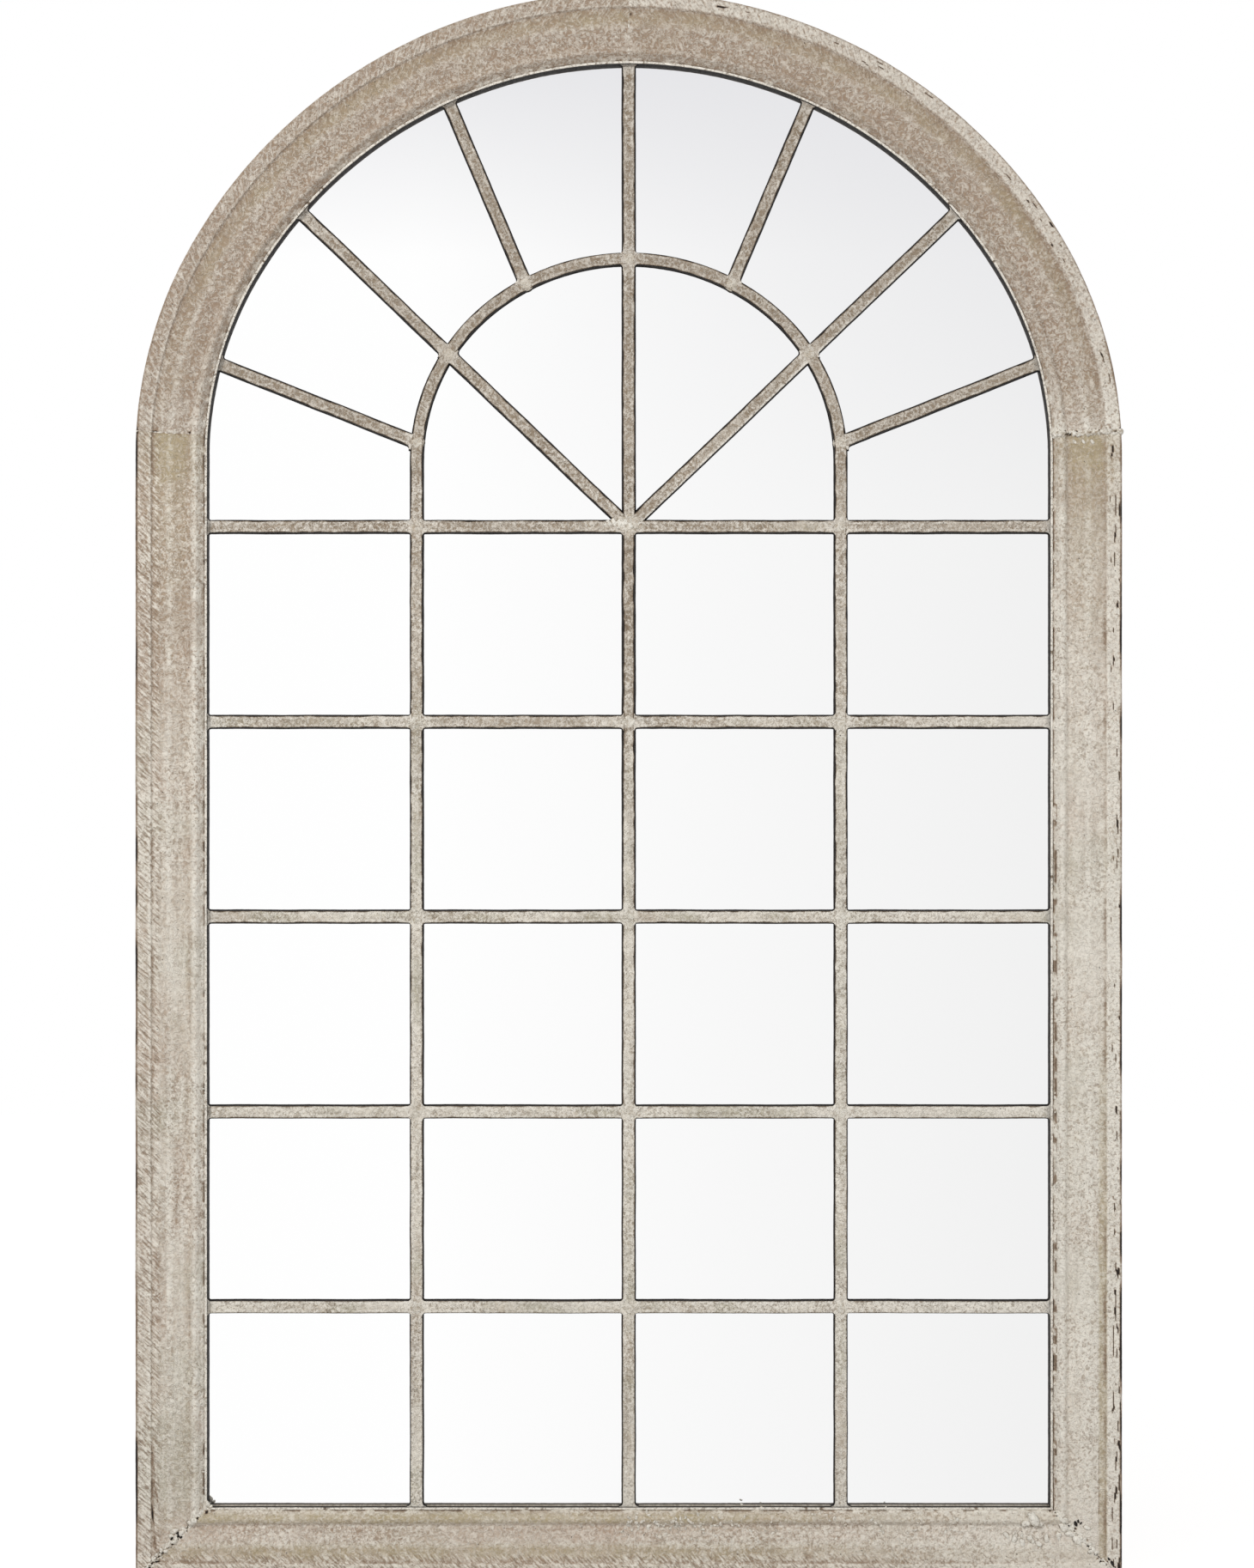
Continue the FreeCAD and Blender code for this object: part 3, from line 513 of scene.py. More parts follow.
# %% [markdown]
# ## Silvered float glass
#
# Mirror glass is float glass silvered on its back. Light crosses the glass and comes back from the
# silver, so to the eye it is a clean metal surface with a slight loss. A fully metallic surface
# with almost no roughness gives that at the glass's own front face.

# %% Mirror
mirror_silver, tree = new_material("silvered_float_glass")
end_material(tree, add_node(tree, "ShaderNodeBsdfPrincipled",
                            {"Base Color": hex_colour("fafafa"), "Metallic": 1.0,
                             "Roughness": 0.015}))
print("mirror finish:", mirror_silver.name)

# %% [markdown]
# ## The hidden side
#
# Behind the skin is sawn softwood, closed by a sheet of brown fibreboard and fastened with
# zinc-plated steel. Softwood shows long grain about 3 mm wide that follows each length, so its
# noise is squeezed across the grain, and turned to follow a length that slants. Year rings come
# out about 6 mm apart and fibres 1.1 mm.

# %% Softwood
def softwood(name, tilt):
    """Sawn softwood with the grain turned `tilt` degrees from vertical, seen from the front."""
    material, tree = new_material(name)
    place = add_node(tree, "ShaderNodeTexCoord").outputs["Object"]
    turned = add_node(tree, "ShaderNodeMapping",
                      {"Vector": place, "Rotation": (0, math.radians(tilt), 0)}).outputs[0]
    long_grain = add_node(tree, "ShaderNodeMapping", {"Vector": turned,
                                                      "Scale": (1.0, 1.0, 0.035)}).outputs[0]
    rings = add_node(tree, "ShaderNodeTexNoise", {"Vector": long_grain, "Scale": 1 / (6.0 * MM),
                                                  "Detail": 5.0, "Roughness": 0.6,
                                                  "Distortion": 0.6})
    fibre = add_node(tree, "ShaderNodeTexNoise", {"Vector": long_grain,
                                                  "Scale": 1 / (1.1 * MM), "Detail": 3.0})
    tone = add_node(tree, "ShaderNodeValToRGB", {0: rings.outputs[0]},
                    stops=[(0.3, hex_colour("a9875d")), (0.5, hex_colour("c9a878")),
                           (0.72, hex_colour("d9bd90"))])
    darker = add_node(tree, "ShaderNodeMapRange", {"Value": fibre.outputs[0], "From Min": 0.35,
                                                   "From Max": 0.6, "To Min": 0.45,
                                                   "To Max": 0.0})
    colour = add_node(tree, "ShaderNodeMix", {"Factor": darker.outputs[0],
                                              6: tone.outputs[0], 7: hex_colour("8f6d46")},
                      data_type="RGBA")
    bump = add_node(tree, "ShaderNodeBump", {"Strength": 0.5, "Distance": 0.3 * MM,
                                             "Height": fibre.outputs[0]})
    end_material(tree, add_node(tree, "ShaderNodeBsdfPrincipled",
                                {"Base Color": colour.outputs[2], "Roughness": 0.7,
                                 "Normal": bump.outputs[0]}))
    return material


# %% [markdown]
# Fibreboard is a felt of short brown fibres pressed flat, so it gets a tangled noise of 4 mm
# tufts and a slow cloud a hand wide. Zinc plate is a pale metal with a faint crystal bloom about
# 12 mm across, rougher where the bloom is light. Moulded rubber is near black with a bit of dust.

# %% Fibreboard, zinc and rubber
fibreboard, tree = new_material("brown_fibreboard")
place = add_node(tree, "ShaderNodeTexCoord").outputs["Object"]
felt = add_node(tree, "ShaderNodeTexNoise", {"Vector": place, "Scale": 1 / (4.0 * MM),
                                             "Detail": 6.0, "Roughness": 0.75,
                                             "Distortion": 1.2})
cloud = add_node(tree, "ShaderNodeTexNoise", {"Vector": place, "Scale": 1 / (120.0 * MM),
                                              "Detail": 3.0})
tone = add_node(tree, "ShaderNodeValToRGB", {0: felt.outputs[0]},
                stops=[(0.3, hex_colour("6e4f33")), (0.52, hex_colour("8a6644")),
                       (0.75, hex_colour("a5815a"))])
shade = add_node(tree, "ShaderNodeMix", {"Factor": cloud.outputs[0], 6: tone.outputs[0],
                                         7: hex_colour("7b5a3b")}, data_type="RGBA")
bump = add_node(tree, "ShaderNodeBump", {"Strength": 0.4, "Distance": 0.3 * MM,
                                         "Height": felt.outputs[0]})
end_material(tree, add_node(tree, "ShaderNodeBsdfPrincipled",
                            {"Base Color": shade.outputs[2], "Roughness": 0.62,
                             "Normal": bump.outputs[0]}))

zinc, tree = new_material("zinc_plated_steel")
place = add_node(tree, "ShaderNodeTexCoord").outputs["Object"]
bloom = add_node(tree, "ShaderNodeTexNoise", {"Vector": place, "Scale": 1 / (12.0 * MM),
                                              "Detail": 4.0})
tone = add_node(tree, "ShaderNodeValToRGB", {0: bloom.outputs[0]},
                stops=[(0.3, hex_colour("a7a9a8")), (0.7, hex_colour("cfd1cf"))])
rub = add_node(tree, "ShaderNodeMapRange", {"Value": bloom.outputs[0], "To Min": 0.28,
                                            "To Max": 0.5})
end_material(tree, add_node(tree, "ShaderNodeBsdfPrincipled",
                            {"Base Color": tone.outputs[0], "Metallic": 1.0,
                             "Roughness": rub.outputs[0]}))

rubber, tree = new_material("moulded_black_rubber")
place = add_node(tree, "ShaderNodeTexCoord").outputs["Object"]
dust = add_node(tree, "ShaderNodeTexNoise", {"Vector": place, "Scale": 1 / (3.0 * MM),
                                             "Detail": 4.0})
tone = add_node(tree, "ShaderNodeValToRGB", {0: dust.outputs[0]},
                stops=[(0.35, hex_colour("201f1e")), (0.75, hex_colour("3a3836"))])
end_material(tree, add_node(tree, "ShaderNodeBsdfPrincipled",
                            {"Base Color": tone.outputs[0], "Roughness": 0.75}))
print("hidden finishes:", fibreboard.name, zinc.name, rubber.name)


# %% [markdown]
# The glass, the wood, the board and the pressed metal fittings are already right in shape, so
# they keep their CAD meshes and only get a finish. The grain of each half arch is turned to
# follow its chord.

# %% Finishes for the CAD pieces
def give(node, material):
    """Puts a finish on a CAD node that keeps its own mesh."""
    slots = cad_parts[node].data.materials
    if len(slots) == 0:
        slots.append(material)
    for index in range(len(slots)):
        slots[index] = material


wood_upright = softwood("sawn_softwood_upright", 0)
CAD_FINISHES = {
    "mirror_glass": mirror_silver,
    "core_side_left": wood_upright,
    "core_side_right": wood_upright,
    "core_bottom": softwood("sawn_softwood_level", 90),
    "core_arch_left": softwood("sawn_softwood_rising", -50),
    "core_arch_right": softwood("sawn_softwood_falling", 50),
    "backing_board": fibreboard,
}
for node in ("fixing_clips", "joint_plate_crown", "joint_plate_left", "joint_plate_right",
             "corner_plate_left", "corner_plate_right", "hanger_strap_left",
             "hanger_strap_right", "hanger_ring_left", "hanger_ring_right"):
    CAD_FINISHES[node] = zinc
for node, material in CAD_FINISHES.items():
    give(node, material)
print("CAD pieces finished:", len(CAD_FINISHES))

# %% [markdown]
# ## The pressed moulding
#
# The moulding is a skin of steel, one millimetre thick, pressed over a wooden core. From its outer
# edge inward it has a flat band, a step down, a wide field with a soft ridge, a bead, and a lip
# that falls to the lining strip. Each length is that section swept along the outline and cut at
# its joints. The sweep is then worked like the real skin: slow waves from the press, a peel from
# the paint, strokes across the outer band, pits, and crumbs at the joints.

# %% Moulding section and its bands
# (u, w) in mm: u in from the outer edge, w forward of the frame's back
SKIN_OUT = [(0, 0), (0, 42.8), (1.5, 44.3), (17.5, 44.3), (19.5, 41.8), (39, 43.3), (62, 39.3),
            (67, 43.8), (71, 43.3), (79.5, 34.3), (79.5, 19)]
SKIN_OUT_ROUNDING = [0, 0.6, 0.7, 0.9, 0.8, 7.0, 1.4, 2.4, 2.4, 0.6, 0]
SKIN_IN = [(78.5, 19), (78.5, 33.9), (70.4, 42.2), (67.3, 42.6), (62.3, 38.2), (39, 42.2),
           (19.1, 40.8), (17.0, 43.2), (1.9, 43.2), (1, 42.3), (1, 0)]
# how dark and how rubbed the section is, by u: brown and darker in the steps, at the outer arris
# and beside the lining strip, cream on the rounded bead, the edges of the bands and the soft ridge
DARKER_ACROSS = [(0.0, 1.0), (2.0, 0.95), (3.2, 0.4), (4.6, 0.04), (14, 0.05), (16.8, 0.0),
               (17.8, 0.3), (18.8, 0.55), (20.6, 0.5), (22.5, 0.26), (27, 0.12), (35, 0.03),
               (42, 0.0), (57, 0.06), (60.5, 0.18), (62.2, 0.4), (63.4, 0.16), (64.6, 0.0),
               (72, 0.0), (76.2, 0.05), (77.2, 0.4), (77.8, 0.66), (79.5, 0.85)]
WEAR_ACROSS = [(0.0, 0.0), (3.0, 0.1), (4.2, 0.4), (5.5, 0.15), (13.5, 0.1), (15.4, 0.5),
               (16.6, 1.0), (17.8, 0.25), (20, 0.0), (35, 0.1), (37.5, 0.6), (41, 0.6),
               (44, 0.12), (62, 0.0), (65.0, 0.6), (67.6, 1.0), (70.5, 0.9), (74, 0.75),
               (76.2, 0.6), (78, 0.0)]
SKIN_EDGE = 1.35       # longest edge of the section, mm
SIDE_SHIFT = 3000.0    # keeps the patterns of the left and right lengths apart, mm along
RAIL_CENTRE = 5000.0   # the bottom rail's own distances along are measured from here
RAIL_FROM = 4000.0     # so a point further along than this is on the bottom rail
ACROSS_MITRE = 0.7071  # distance from a 45-degree joint, for each mm along x or z
print("section of the moulding:", len(SKIN_OUT), "corners outside,", len(SKIN_IN), "inside")

# %% [markdown]
# The skin isn't smooth. Slow waves come from the press and the filler, small ones from the brush.
# Tool strokes slant across the outer band, the right-hand band has black slits where the paint
# lifted, brown wash ran down above one mitre, and crumbs bridge the slot beside the lining strip.
# Each of these is noise read along and across the piece, cut off at a level.

# %% Relief, dirt and wear of the skin
ARCH_FROM, ARCH_FULL = 1300.0, 200.0     # the arch's evener wash starts here and fades in
BEAD_FROM = 58.0                         # the bead and the lip lie further in than this
OUTER_BAND = (1.5, 16.5)                 # the flat band with the tool strokes
SLOT_FROM = 76.3                         # the slot beside the lining strip
# waves of the skin: height and spacing in mm, and seed
WAVES = [(0.30, 75, 0.0), (0.12, 19, 3.1), (0.12, 6.5, 5.2), (0.08, 3.2, 8.4)]


def pressed_relief(inset, along, x, y, z, side):
    """How far the paint stands proud of the plain skin, in mm, with how dark and how rubbed it is.
    """
    lift = sum(tall * lump(x, y, z, size, seed) for tall, size, seed in WAVES)
    dirt_and_shade = read_band(DARKER_ACROSS, inset)
    wear_and_highlight = read_band(WEAR_ACROSS, inset)
    # round the arch the wash was rubbed in evenly, so the bands are fainter there
    even = 1 - 0.6 * share((z - ARCH_FROM) / ARCH_FULL)
    dirt_and_shade *= max(0.25, 0.75 + 0.6 * lump(along, inset * 0.2, side * 40, 38, 2.0)) * even
    wear_and_highlight *= max(0.1, 0.75 + 0.9 * lump(along, side * 30, 0, 27, 7.0)) * even
    if inset > BEAD_FROM:
        wear_and_highlight *= 0.3 if along > RAIL_FROM else even * even
    elif even < 1:
        dirt_and_shade += (1 - even) * read_band([(18, 0.0), (21, 0.6), (33, 0.5), (44, 0.0)], inset)
    if OUTER_BAND[0] < inset < OUTER_BAND[1]:
        # tool strokes, slanting across the outer band
        slant = along * 0.84 + inset * 0.54
        stroke = noise.noise(Vector((slant / 3.0, inset / 16 + side * 9, along / 60)))
        lift += 0.16 * stroke
        if side > 0:
            # the right-hand band is paler, with black slits where the paint has lifted
            wear_and_highlight += 0.55
            often = 0.16 + 0.26 * share(z / 600) + 0.035 * abs(inset - 7.5)
            slit = noise.noise(Vector((along / 19.0, (inset + lump(along, 0, 0, 40)) / 2.1, 4.4)))
            if slit > often:
                lift -= 0.5 * min(1.0, (slit - often) * 9)
                dirt_and_shade += min(1.0, (slit - often) * 26)
    if side < 0 and 19 < inset < 32 and 35 < z < 150:
        # drips of brown wash that ran together above the lower left mitre
        drip = noise.noise(Vector((along / 22, (inset + along * 0.12) / 1.6, 2.6))) - 0.05
        dirt_and_shade += min(0.5, max(0.0, drip) * 1.5) * min(1.0, (150 - z) / 60)
    if side > 0 and z < 900 and along < RAIL_FROM:
        # long brown dashes beside the right-hand lining strip
        dash = noise.noise(Vector((along / 21, side * 3.5, 7.7))) + 0.12
        dirt_and_shade = max(dirt_and_shade, min(0.72, max(0.0, dash) * 5.0) * read_band(
            [(74.2, 0.0), (75.0, 1.0), (77.8, 1.0), (78.2, 0.0)], inset))
        # the lower step stays dark for a hand's length
        dirt_and_shade += 0.5 * read_band([(25.4, 0.0), (26.2, 1.0), (27.4, 1.0), (28.6, 0.0)], inset) * (
            read_band([(55, 0.0), (80, 1.0), (150, 0.8), (190, 0.0)], z))
    if inset > SLOT_FROM:
        # crumbs of paint bridge the slot between the lip and the lining strip
        close_at = 0.16 if side > 0 else -0.12
        bridge = noise.noise(Vector((along / 15, side * 5.5, 12.3)))
        if bridge > close_at:
            lift += min(0.9, (bridge - close_at) * 6.0)
            dirt_and_shade *= max(0.0, 1.0 - (bridge - close_at) * 9)
            wear_and_highlight += min(0.5, (bridge - close_at) * 3)
    return lift, dirt_and_shade, wear_and_highlight


# %% Khaki wash
def khaki_wash(inset, along, x, y, z, side):
    """Where the smooth khaki wash lies: below both butt seams, and in bands on the bottom rail."""
    ragged = 0.35 * lump(x, y, z, 26, 3.0) + 0.2 * lump(x, y, z, 8, 5.0)
    if along > RAIL_FROM:
        lip = read_band([(63, 0.0), (66, 0.9), (73, 1.0), (77, 0.3)], inset)
        sill = read_band([(20, 0.1), (27, 0.75), (36, 0.7), (44, 0.0)], inset)
        thin = read_band([(100, 1.0), (300, 0.3)], x)
        return (lip + sill) * (0.85 + 1.6 * ragged) * thin
    below = SEAM_ALONG - along
    if below < 0:
        smooth = read_band([(19, 0.0), (22, 0.6), (32, 0.55), (42, 0.0)], inset)
        return smooth * min(1.0, -below / 250) * (0.8 + 1.5 * ragged) + 0.5 * max(0.0, ragged)
    smooth = 0.0
    if side > 0 and z < 700:
        smooth = 0.75 * read_band([(16.5, 0.0), (18.5, 1.0), (26, 1.0), (27.5, 0.0)], inset) * (
            read_band([(400, 1.0), (700, 0.0)], z))
    field = read_band([(2, 0.25), (19, 0.5), (24, 1.0), (56, 1.0), (63, 0.45), (76, 0.4)], inset)
    fall = read_band([(0, 1.0), (40, 0.9 if side > 0 else 0.75), (60, 0.45), (190, 0.15),
                      (330, 0.0)], below + 60 * ragged)
    return field * fall + smooth + 0.8 * max(0.0, ragged - 0.12)


# %% Working the skin
OUTER_SIDE = (1.0, 42.0)    # the frame's outer side: this far in, up to this far from its back
SLOT_SIDE = (79.0, 33.0)    # the skin's side in the slot beside the lining strip
JOINT_REACH = 9.0           # crumbs and pits lie this near a joint
SEAM_SHADOW = 4.5           # the shadow below a butt seam fades out over this
SEAM_RUBBED = 60.0          # and the arch's end is rubbed paler over this
LIFT_LIMITS = (-0.65, 1.4)  # the paint sinks and stands no further than this


def work_moulding(bm, place_of, side, joints):
    """Moves the skin's outer points and paints every point.

    `joints` gives, for a point, its distance from each joint and how rough that joint is.
    """
    skin = bm.verts.layers.float["skin"]
    dirt_and_shade_layer, wear_and_highlight_layer, wash_layer, flow_layer = paint_layers(bm)
    bm.normal_update()
    moves = []
    for vert in bm.verts:
        x, y, z = vert.co / MM
        inset, along = place_of(x, z)
        lift, dirt_and_shade, wear_and_highlight = pressed_relief(inset, along, x, y, z, side)
        behind = BACK_Y - y
        if inset < OUTER_SIDE[0] and behind < OUTER_SIDE[1]:
            # the outer edge of the frame: plain brushed paint, darker toward the wall
            dirt_and_shade = 0.16 + 0.25 * max(0.0, 1 - behind / 18) + 0.15 * lump(x, y, z, 15, 4.0)
            wear_and_highlight = 0.1
        # the skin's side in the slot is painted black as shade
        if inset > SLOT_SIDE[0] and behind < SLOT_SIDE[1]:
            dirt_and_shade, wear_and_highlight = 1.0, 0.0
        below = SEAM_ALONG - along
        if along < RAIL_FROM and abs(below) < SEAM_RUBBED and inset > 1.5:
            # the right-hand seam shows clearly, the left-hand one faintly: a shadow is painted
            # below the seam, and the arch's end is rubbed paler above it
            strength = 1.0 if side > 0 else 0.35
            if below > 0:
                dirt_and_shade += 0.74 * strength * max(0.0, 1 - below / SEAM_SHADOW)
            else:
                wear_and_highlight += 0.45 * strength * (1 + below / SEAM_RUBBED)
        for joint, reach in joints(x, z, inset, along):
            if joint > JOINT_REACH:
                continue
            crumb = lump(x, y, z, 3.6, 9.9) + 0.5 * lump(x, y, z, 7.0, 1.9)
            near = math.exp(-((joint - 2.0) / 2.6) ** 2)
            lift += reach * near * (0.4 + crumb)
            wear_and_highlight += near * (0.45 + 1.4 * crumb) * reach
            if joint < 5.5 and crumb < -0.12:
                pit = (-0.12 - crumb) * reach * (1 - joint / 7)
                dirt_and_shade += pit * 5.0
                lift -= pit * 2.0
        vert[dirt_and_shade_layer] = share(dirt_and_shade)
        vert[wear_and_highlight_layer] = share(wear_and_highlight)
        vert[wash_layer] = share(khaki_wash(inset, along, x, y, z, side))
        vert[flow_layer] = Vector((along + side * SIDE_SHIFT, inset, behind)) * MM
        if vert[skin] > 0.99 and not (inset < 1.2 and behind < 1.0):
            sunk, proud = LIFT_LIMITS
            moves.append((vert, vert.normal * (min(proud, max(sunk, lift)) * MM)))
    for vert, shift in moves:
        vert.co += shift


def moulding_section(bm, to_place):
    """The moulding's section as a wire, each (u, w) put in place by `to_place`."""
    corners = [to_place(u, w) for u, w in SKIN_OUT + SKIN_IN]
    return section_wire(bm, corners, SKIN_OUT_ROUNDING + [None] * len(SKIN_IN), SKIN_EDGE)


# %% [markdown]
# A side is swept up from below the floor line and round to the butt seam, and its foot is cut
# to the mitre. Half the arch runs on from the seam to the crown. The right-hand lengths are the
# left-hand ones turned over before they are worked, so that no mark is repeated.

# %% Side and arch lengths
BELOW_MITRE = 4.0      # the sweep starts this far below, and the mitre cuts it off


def flip_right(bm):
    """Turns a left-hand length into the right-hand one."""
    bmesh.ops.scale(bm, vec=(-1, 1, 1), verts=bm.verts[:])
    bmesh.ops.reverse_faces(bm, faces=bm.faces[:])


for side, hand in ((-1, "left"), (1, "right")):
    bm = new_mesh()
    live = moulding_section(bm, lambda u, w: (u - OUTER["half"], BACK_Y - w, -BELOW_MITRE))
    sweep(bm, live, line_run((0, 0, 1), OUTER["spring"] + BELOW_MITRE, (True, False))
          + arc_run(-OUTER["haunch_x"], OUTER["spring"], OUTER["haunch_r"], SEAM_TILT,
                    (False, True)))
    cut_at(bm, (-OUTER["half"], 0, 0), (1, 0, -1))
    close_ends(bm)
    if side > 0:
        flip_right(bm)

    def side_joints(x, z, inset, along, side=side):
        mitre = abs(z - inset) * ACROSS_MITRE
        return [(mitre, 0.75), (abs(SEAM_ALONG - along), 0.55 if side > 0 else 0.3)]

    work_moulding(bm, lambda x, z: arch_place(OUTER, x, z), side, side_joints)
    finish_piece(f"pressed_moulding_side_{hand}", bm, "frame", moulding_paint,
                 [f"moulding_side_{hand}"])

    bm = new_mesh()
    live = moulding_section(bm, lambda u, w: (u - OUTER["half"], BACK_Y - w, OUTER["spring"]))
    bmesh.ops.rotate(bm, cent=Vector((-OUTER["haunch_x"], 0, OUTER["spring"])) * MM,
                     matrix=Matrix.Rotation(SEAM_TILT, 3, "Y"), verts=bm.verts[:])
    sweep(bm, live, arc_run(-OUTER["haunch_x"], OUTER["spring"], OUTER["haunch_r"],
                            OUTER["turn"] - SEAM_TILT, (True, False))
          + arc_run(0, OUTER["crown_z"], OUTER["crown_r"], math.pi / 2 - OUTER["turn"],
                    (False, True)))
    close_ends(bm)
    if side > 0:
        flip_right(bm)

    def arch_joints(x, z, inset, along, side=side):
        return [(abs(along - SEAM_ALONG), 0.9 if side > 0 else 0.3), (abs(x), 0.2)]

    work_moulding(bm, lambda x, z: arch_place(OUTER, x, z), side, arch_joints)
    finish_piece(f"pressed_moulding_arch_{hand}", bm, "frame", moulding_paint,
                 [f"moulding_arch_{hand}"])

# %% Bottom length
bm = new_mesh()
live = moulding_section(bm, lambda u, w: (-OUTER["half"], BACK_Y - w, u))
sweep(bm, live, line_run((1, 0, 0), 2 * OUTER["half"]))
cut_at(bm, (-OUTER["half"], 0, 0), (-1, 0, 1))
cut_at(bm, (OUTER["half"], 0, 0), (1, 0, 1))
close_ends(bm)
work_moulding(bm, lambda x, z: (z, x + RAIL_CENTRE), -1,
              lambda x, z, inset, along: [((OUTER["half"] - abs(x) - z) * ACROSS_MITRE, 0.75)])
finish_piece("pressed_moulding_bottom", bm, "frame", moulding_paint,
             ["moulding_bottom"])

# %% [markdown]
# ## The lining strip
#
# A thin strip set on edge closes the moulding to the glass. Only its rubbed front edge and its
# inner face show, and the inner face is painted near black as shade: at a distance it reads as a
# bright line with a black line beside it, and the glass doubles the black one. The top face of the
# bottom strip is painted lighter instead, as if it caught the light.

# %% Lining strips
STRIP_FOOT, STRIP_FRONT = BACK_Y + 0.4, BACK_Y + 17.4      # forward of the frame's back
STRIP_EDGE = 2.0       # longest edge of the section, mm
# painted shade: a strip's inner face is painted near black from just behind its front edge, and
# the bottom strip's, which faces up, is painted lighter toward the glass as painted light
STRIP_PAINTED_SHADE = [(0, 0.0), (0.8, 0.15), (1.6, 0.95), (17, 1.0)]     # by depth from the front edge
STRIP_WEAR = [(0, 1.0), (0.9, 0.9), (1.7, 0.0)]
LIT_STRIP_PAINTED_SHADE = [(0, 0.0), (1.0, 0.1), (2.0, 0.9), (10.5, 1.0), (12.5, 0.42), (17, 0.38)]


def strip_section(bm, to_place):
    """The lining strip's section as a wire."""
    edge = [(LINER_IN, STRIP_FOOT), (LINER_IN, STRIP_FRONT), (OPENING, STRIP_FRONT),
            (OPENING, STRIP_FOOT)]
    return section_wire(bm, [to_place(u, w) for u, w in edge], [0, 0.4, 0.4, 0], STRIP_EDGE)


def work_strip(bm, place_of, side, painted_light=False):
    """Waves and paints a strip, with painted shade on its inner faces. The flag is for the strip
    whose inner face is painted lighter, as if it caught the light.
    """
    dirt_and_shade_layer, wear_and_highlight_layer, _, flow_layer = paint_layers(bm)
    bm.normal_update()
    moves = []
    for vert in bm.verts:
        x, y, z = vert.co / MM
        inset, along = place_of(x, z)
        front = STRIP_FRONT - (BACK_Y - y)
        dirt_and_shade = read_band(LIT_STRIP_PAINTED_SHADE if painted_light and inset > OPENING - 1 else STRIP_PAINTED_SHADE, front)
        wear_and_highlight = read_band(STRIP_WEAR, front)
        gap = lump(along, side * 50, 0, 9, 6.1)
        if front < 1.2 and gap > 0.25:
            dirt_and_shade += (gap - 0.25) * 2.0
        # the strip's face toward the moulding, in the slot, is painted black as shade
        if inset < 80 and front > 0.6:
            dirt_and_shade, wear_and_highlight = 1.0, 0.0
        vert[dirt_and_shade_layer] = min(1.0, dirt_and_shade)
        vert[wear_and_highlight_layer] = wear_and_highlight
        vert[flow_layer] = Vector((along + side * SIDE_SHIFT, inset, front)) * MM
        wave = 0.22 * lump(along, side * 70, 0, 60, 2.2) + 0.12 * lump(along, inset, front, 7, 1.2)
        if front < 6:
            moves.append((vert, vert.normal * (wave + 0.1 * lump(x, y, z, 3, 4.5)) * MM))
    for vert, shift in moves:
        vert.co += shift


for side, hand in ((-1, "left"), (1, "right")):
    bm = new_mesh()
    live = strip_section(bm, lambda u, w: (u - OUTER["half"], BACK_Y - w, LINER_IN))
    sweep(bm, live, line_run((0, 0, 1), OUTER["spring"] - LINER_IN))
    close_ends(bm)
    if side > 0:
        flip_right(bm)
    work_strip(bm, lambda x, z: arch_place(OUTER, x, z), side)
    finish_piece(f"lining_strip_{hand}", bm, "frame", bar_paint,
                 [f"liner_{hand}"])

bm = new_mesh()
live = strip_section(bm, lambda u, w: (u - OUTER["half"], BACK_Y - w, OUTER["spring"]))
sweep(bm, live, over_the_top(OUTER))
close_ends(bm)
work_strip(bm, lambda x, z: arch_place(OUTER, x, z), 1)
finish_piece("lining_strip_arch", bm, "frame", bar_paint, ["liner_arch"])

bm = new_mesh()
live = strip_section(bm, lambda u, w: (OPENING - OUTER["half"], BACK_Y - w, u))
sweep(bm, live, line_run((1, 0, 0), 2 * (OUTER["half"] - OPENING)))
close_ends(bm)
work_strip(bm, lambda x, z: (z, x + RAIL_CENTRE), -1, painted_light=True)
finish_piece("lining_strip_bottom", bm, "frame", bar_paint, ["liner_bottom"])

# %% [markdown]
# ## The lattice bars
#
# The bars are half-inch square steel, laid on the glass, welded where they meet and painted by
# hand. Three things keep them from looking like drawn lines: their sides waver by half a
# millimetre, their arrises are soft, and the weld at each butted end flares out into both bars.
# A bar is swept along its length first, then widened by a quarter circle at its ends, and only
# then turned into place.

# %% One bar
BAR_BACK_Y = -0.4      # the bars lie on the glass
BAR_DEEP = 10.0
BAR_FACE = BACK_Y - BAR_BACK_Y + BAR_DEEP          # a bar's face, forward of the frame's back
BAR_EDGE = 1.7         # longest edge of the section, mm
# (across, height above the glass): the foot spreads in a skim of paint
BAR_SECTION = [(-8.3, 0), (-8.1, 0.7), (-7.0, 2.4), (-6.6, BAR_DEEP), (6.6, BAR_DEEP),
               (7.0, 2.4), (8.1, 0.7), (8.3, 0)]
BAR_ROUNDING = [0, 0, 0, 0.8, 0.8, 0, 0, 0]


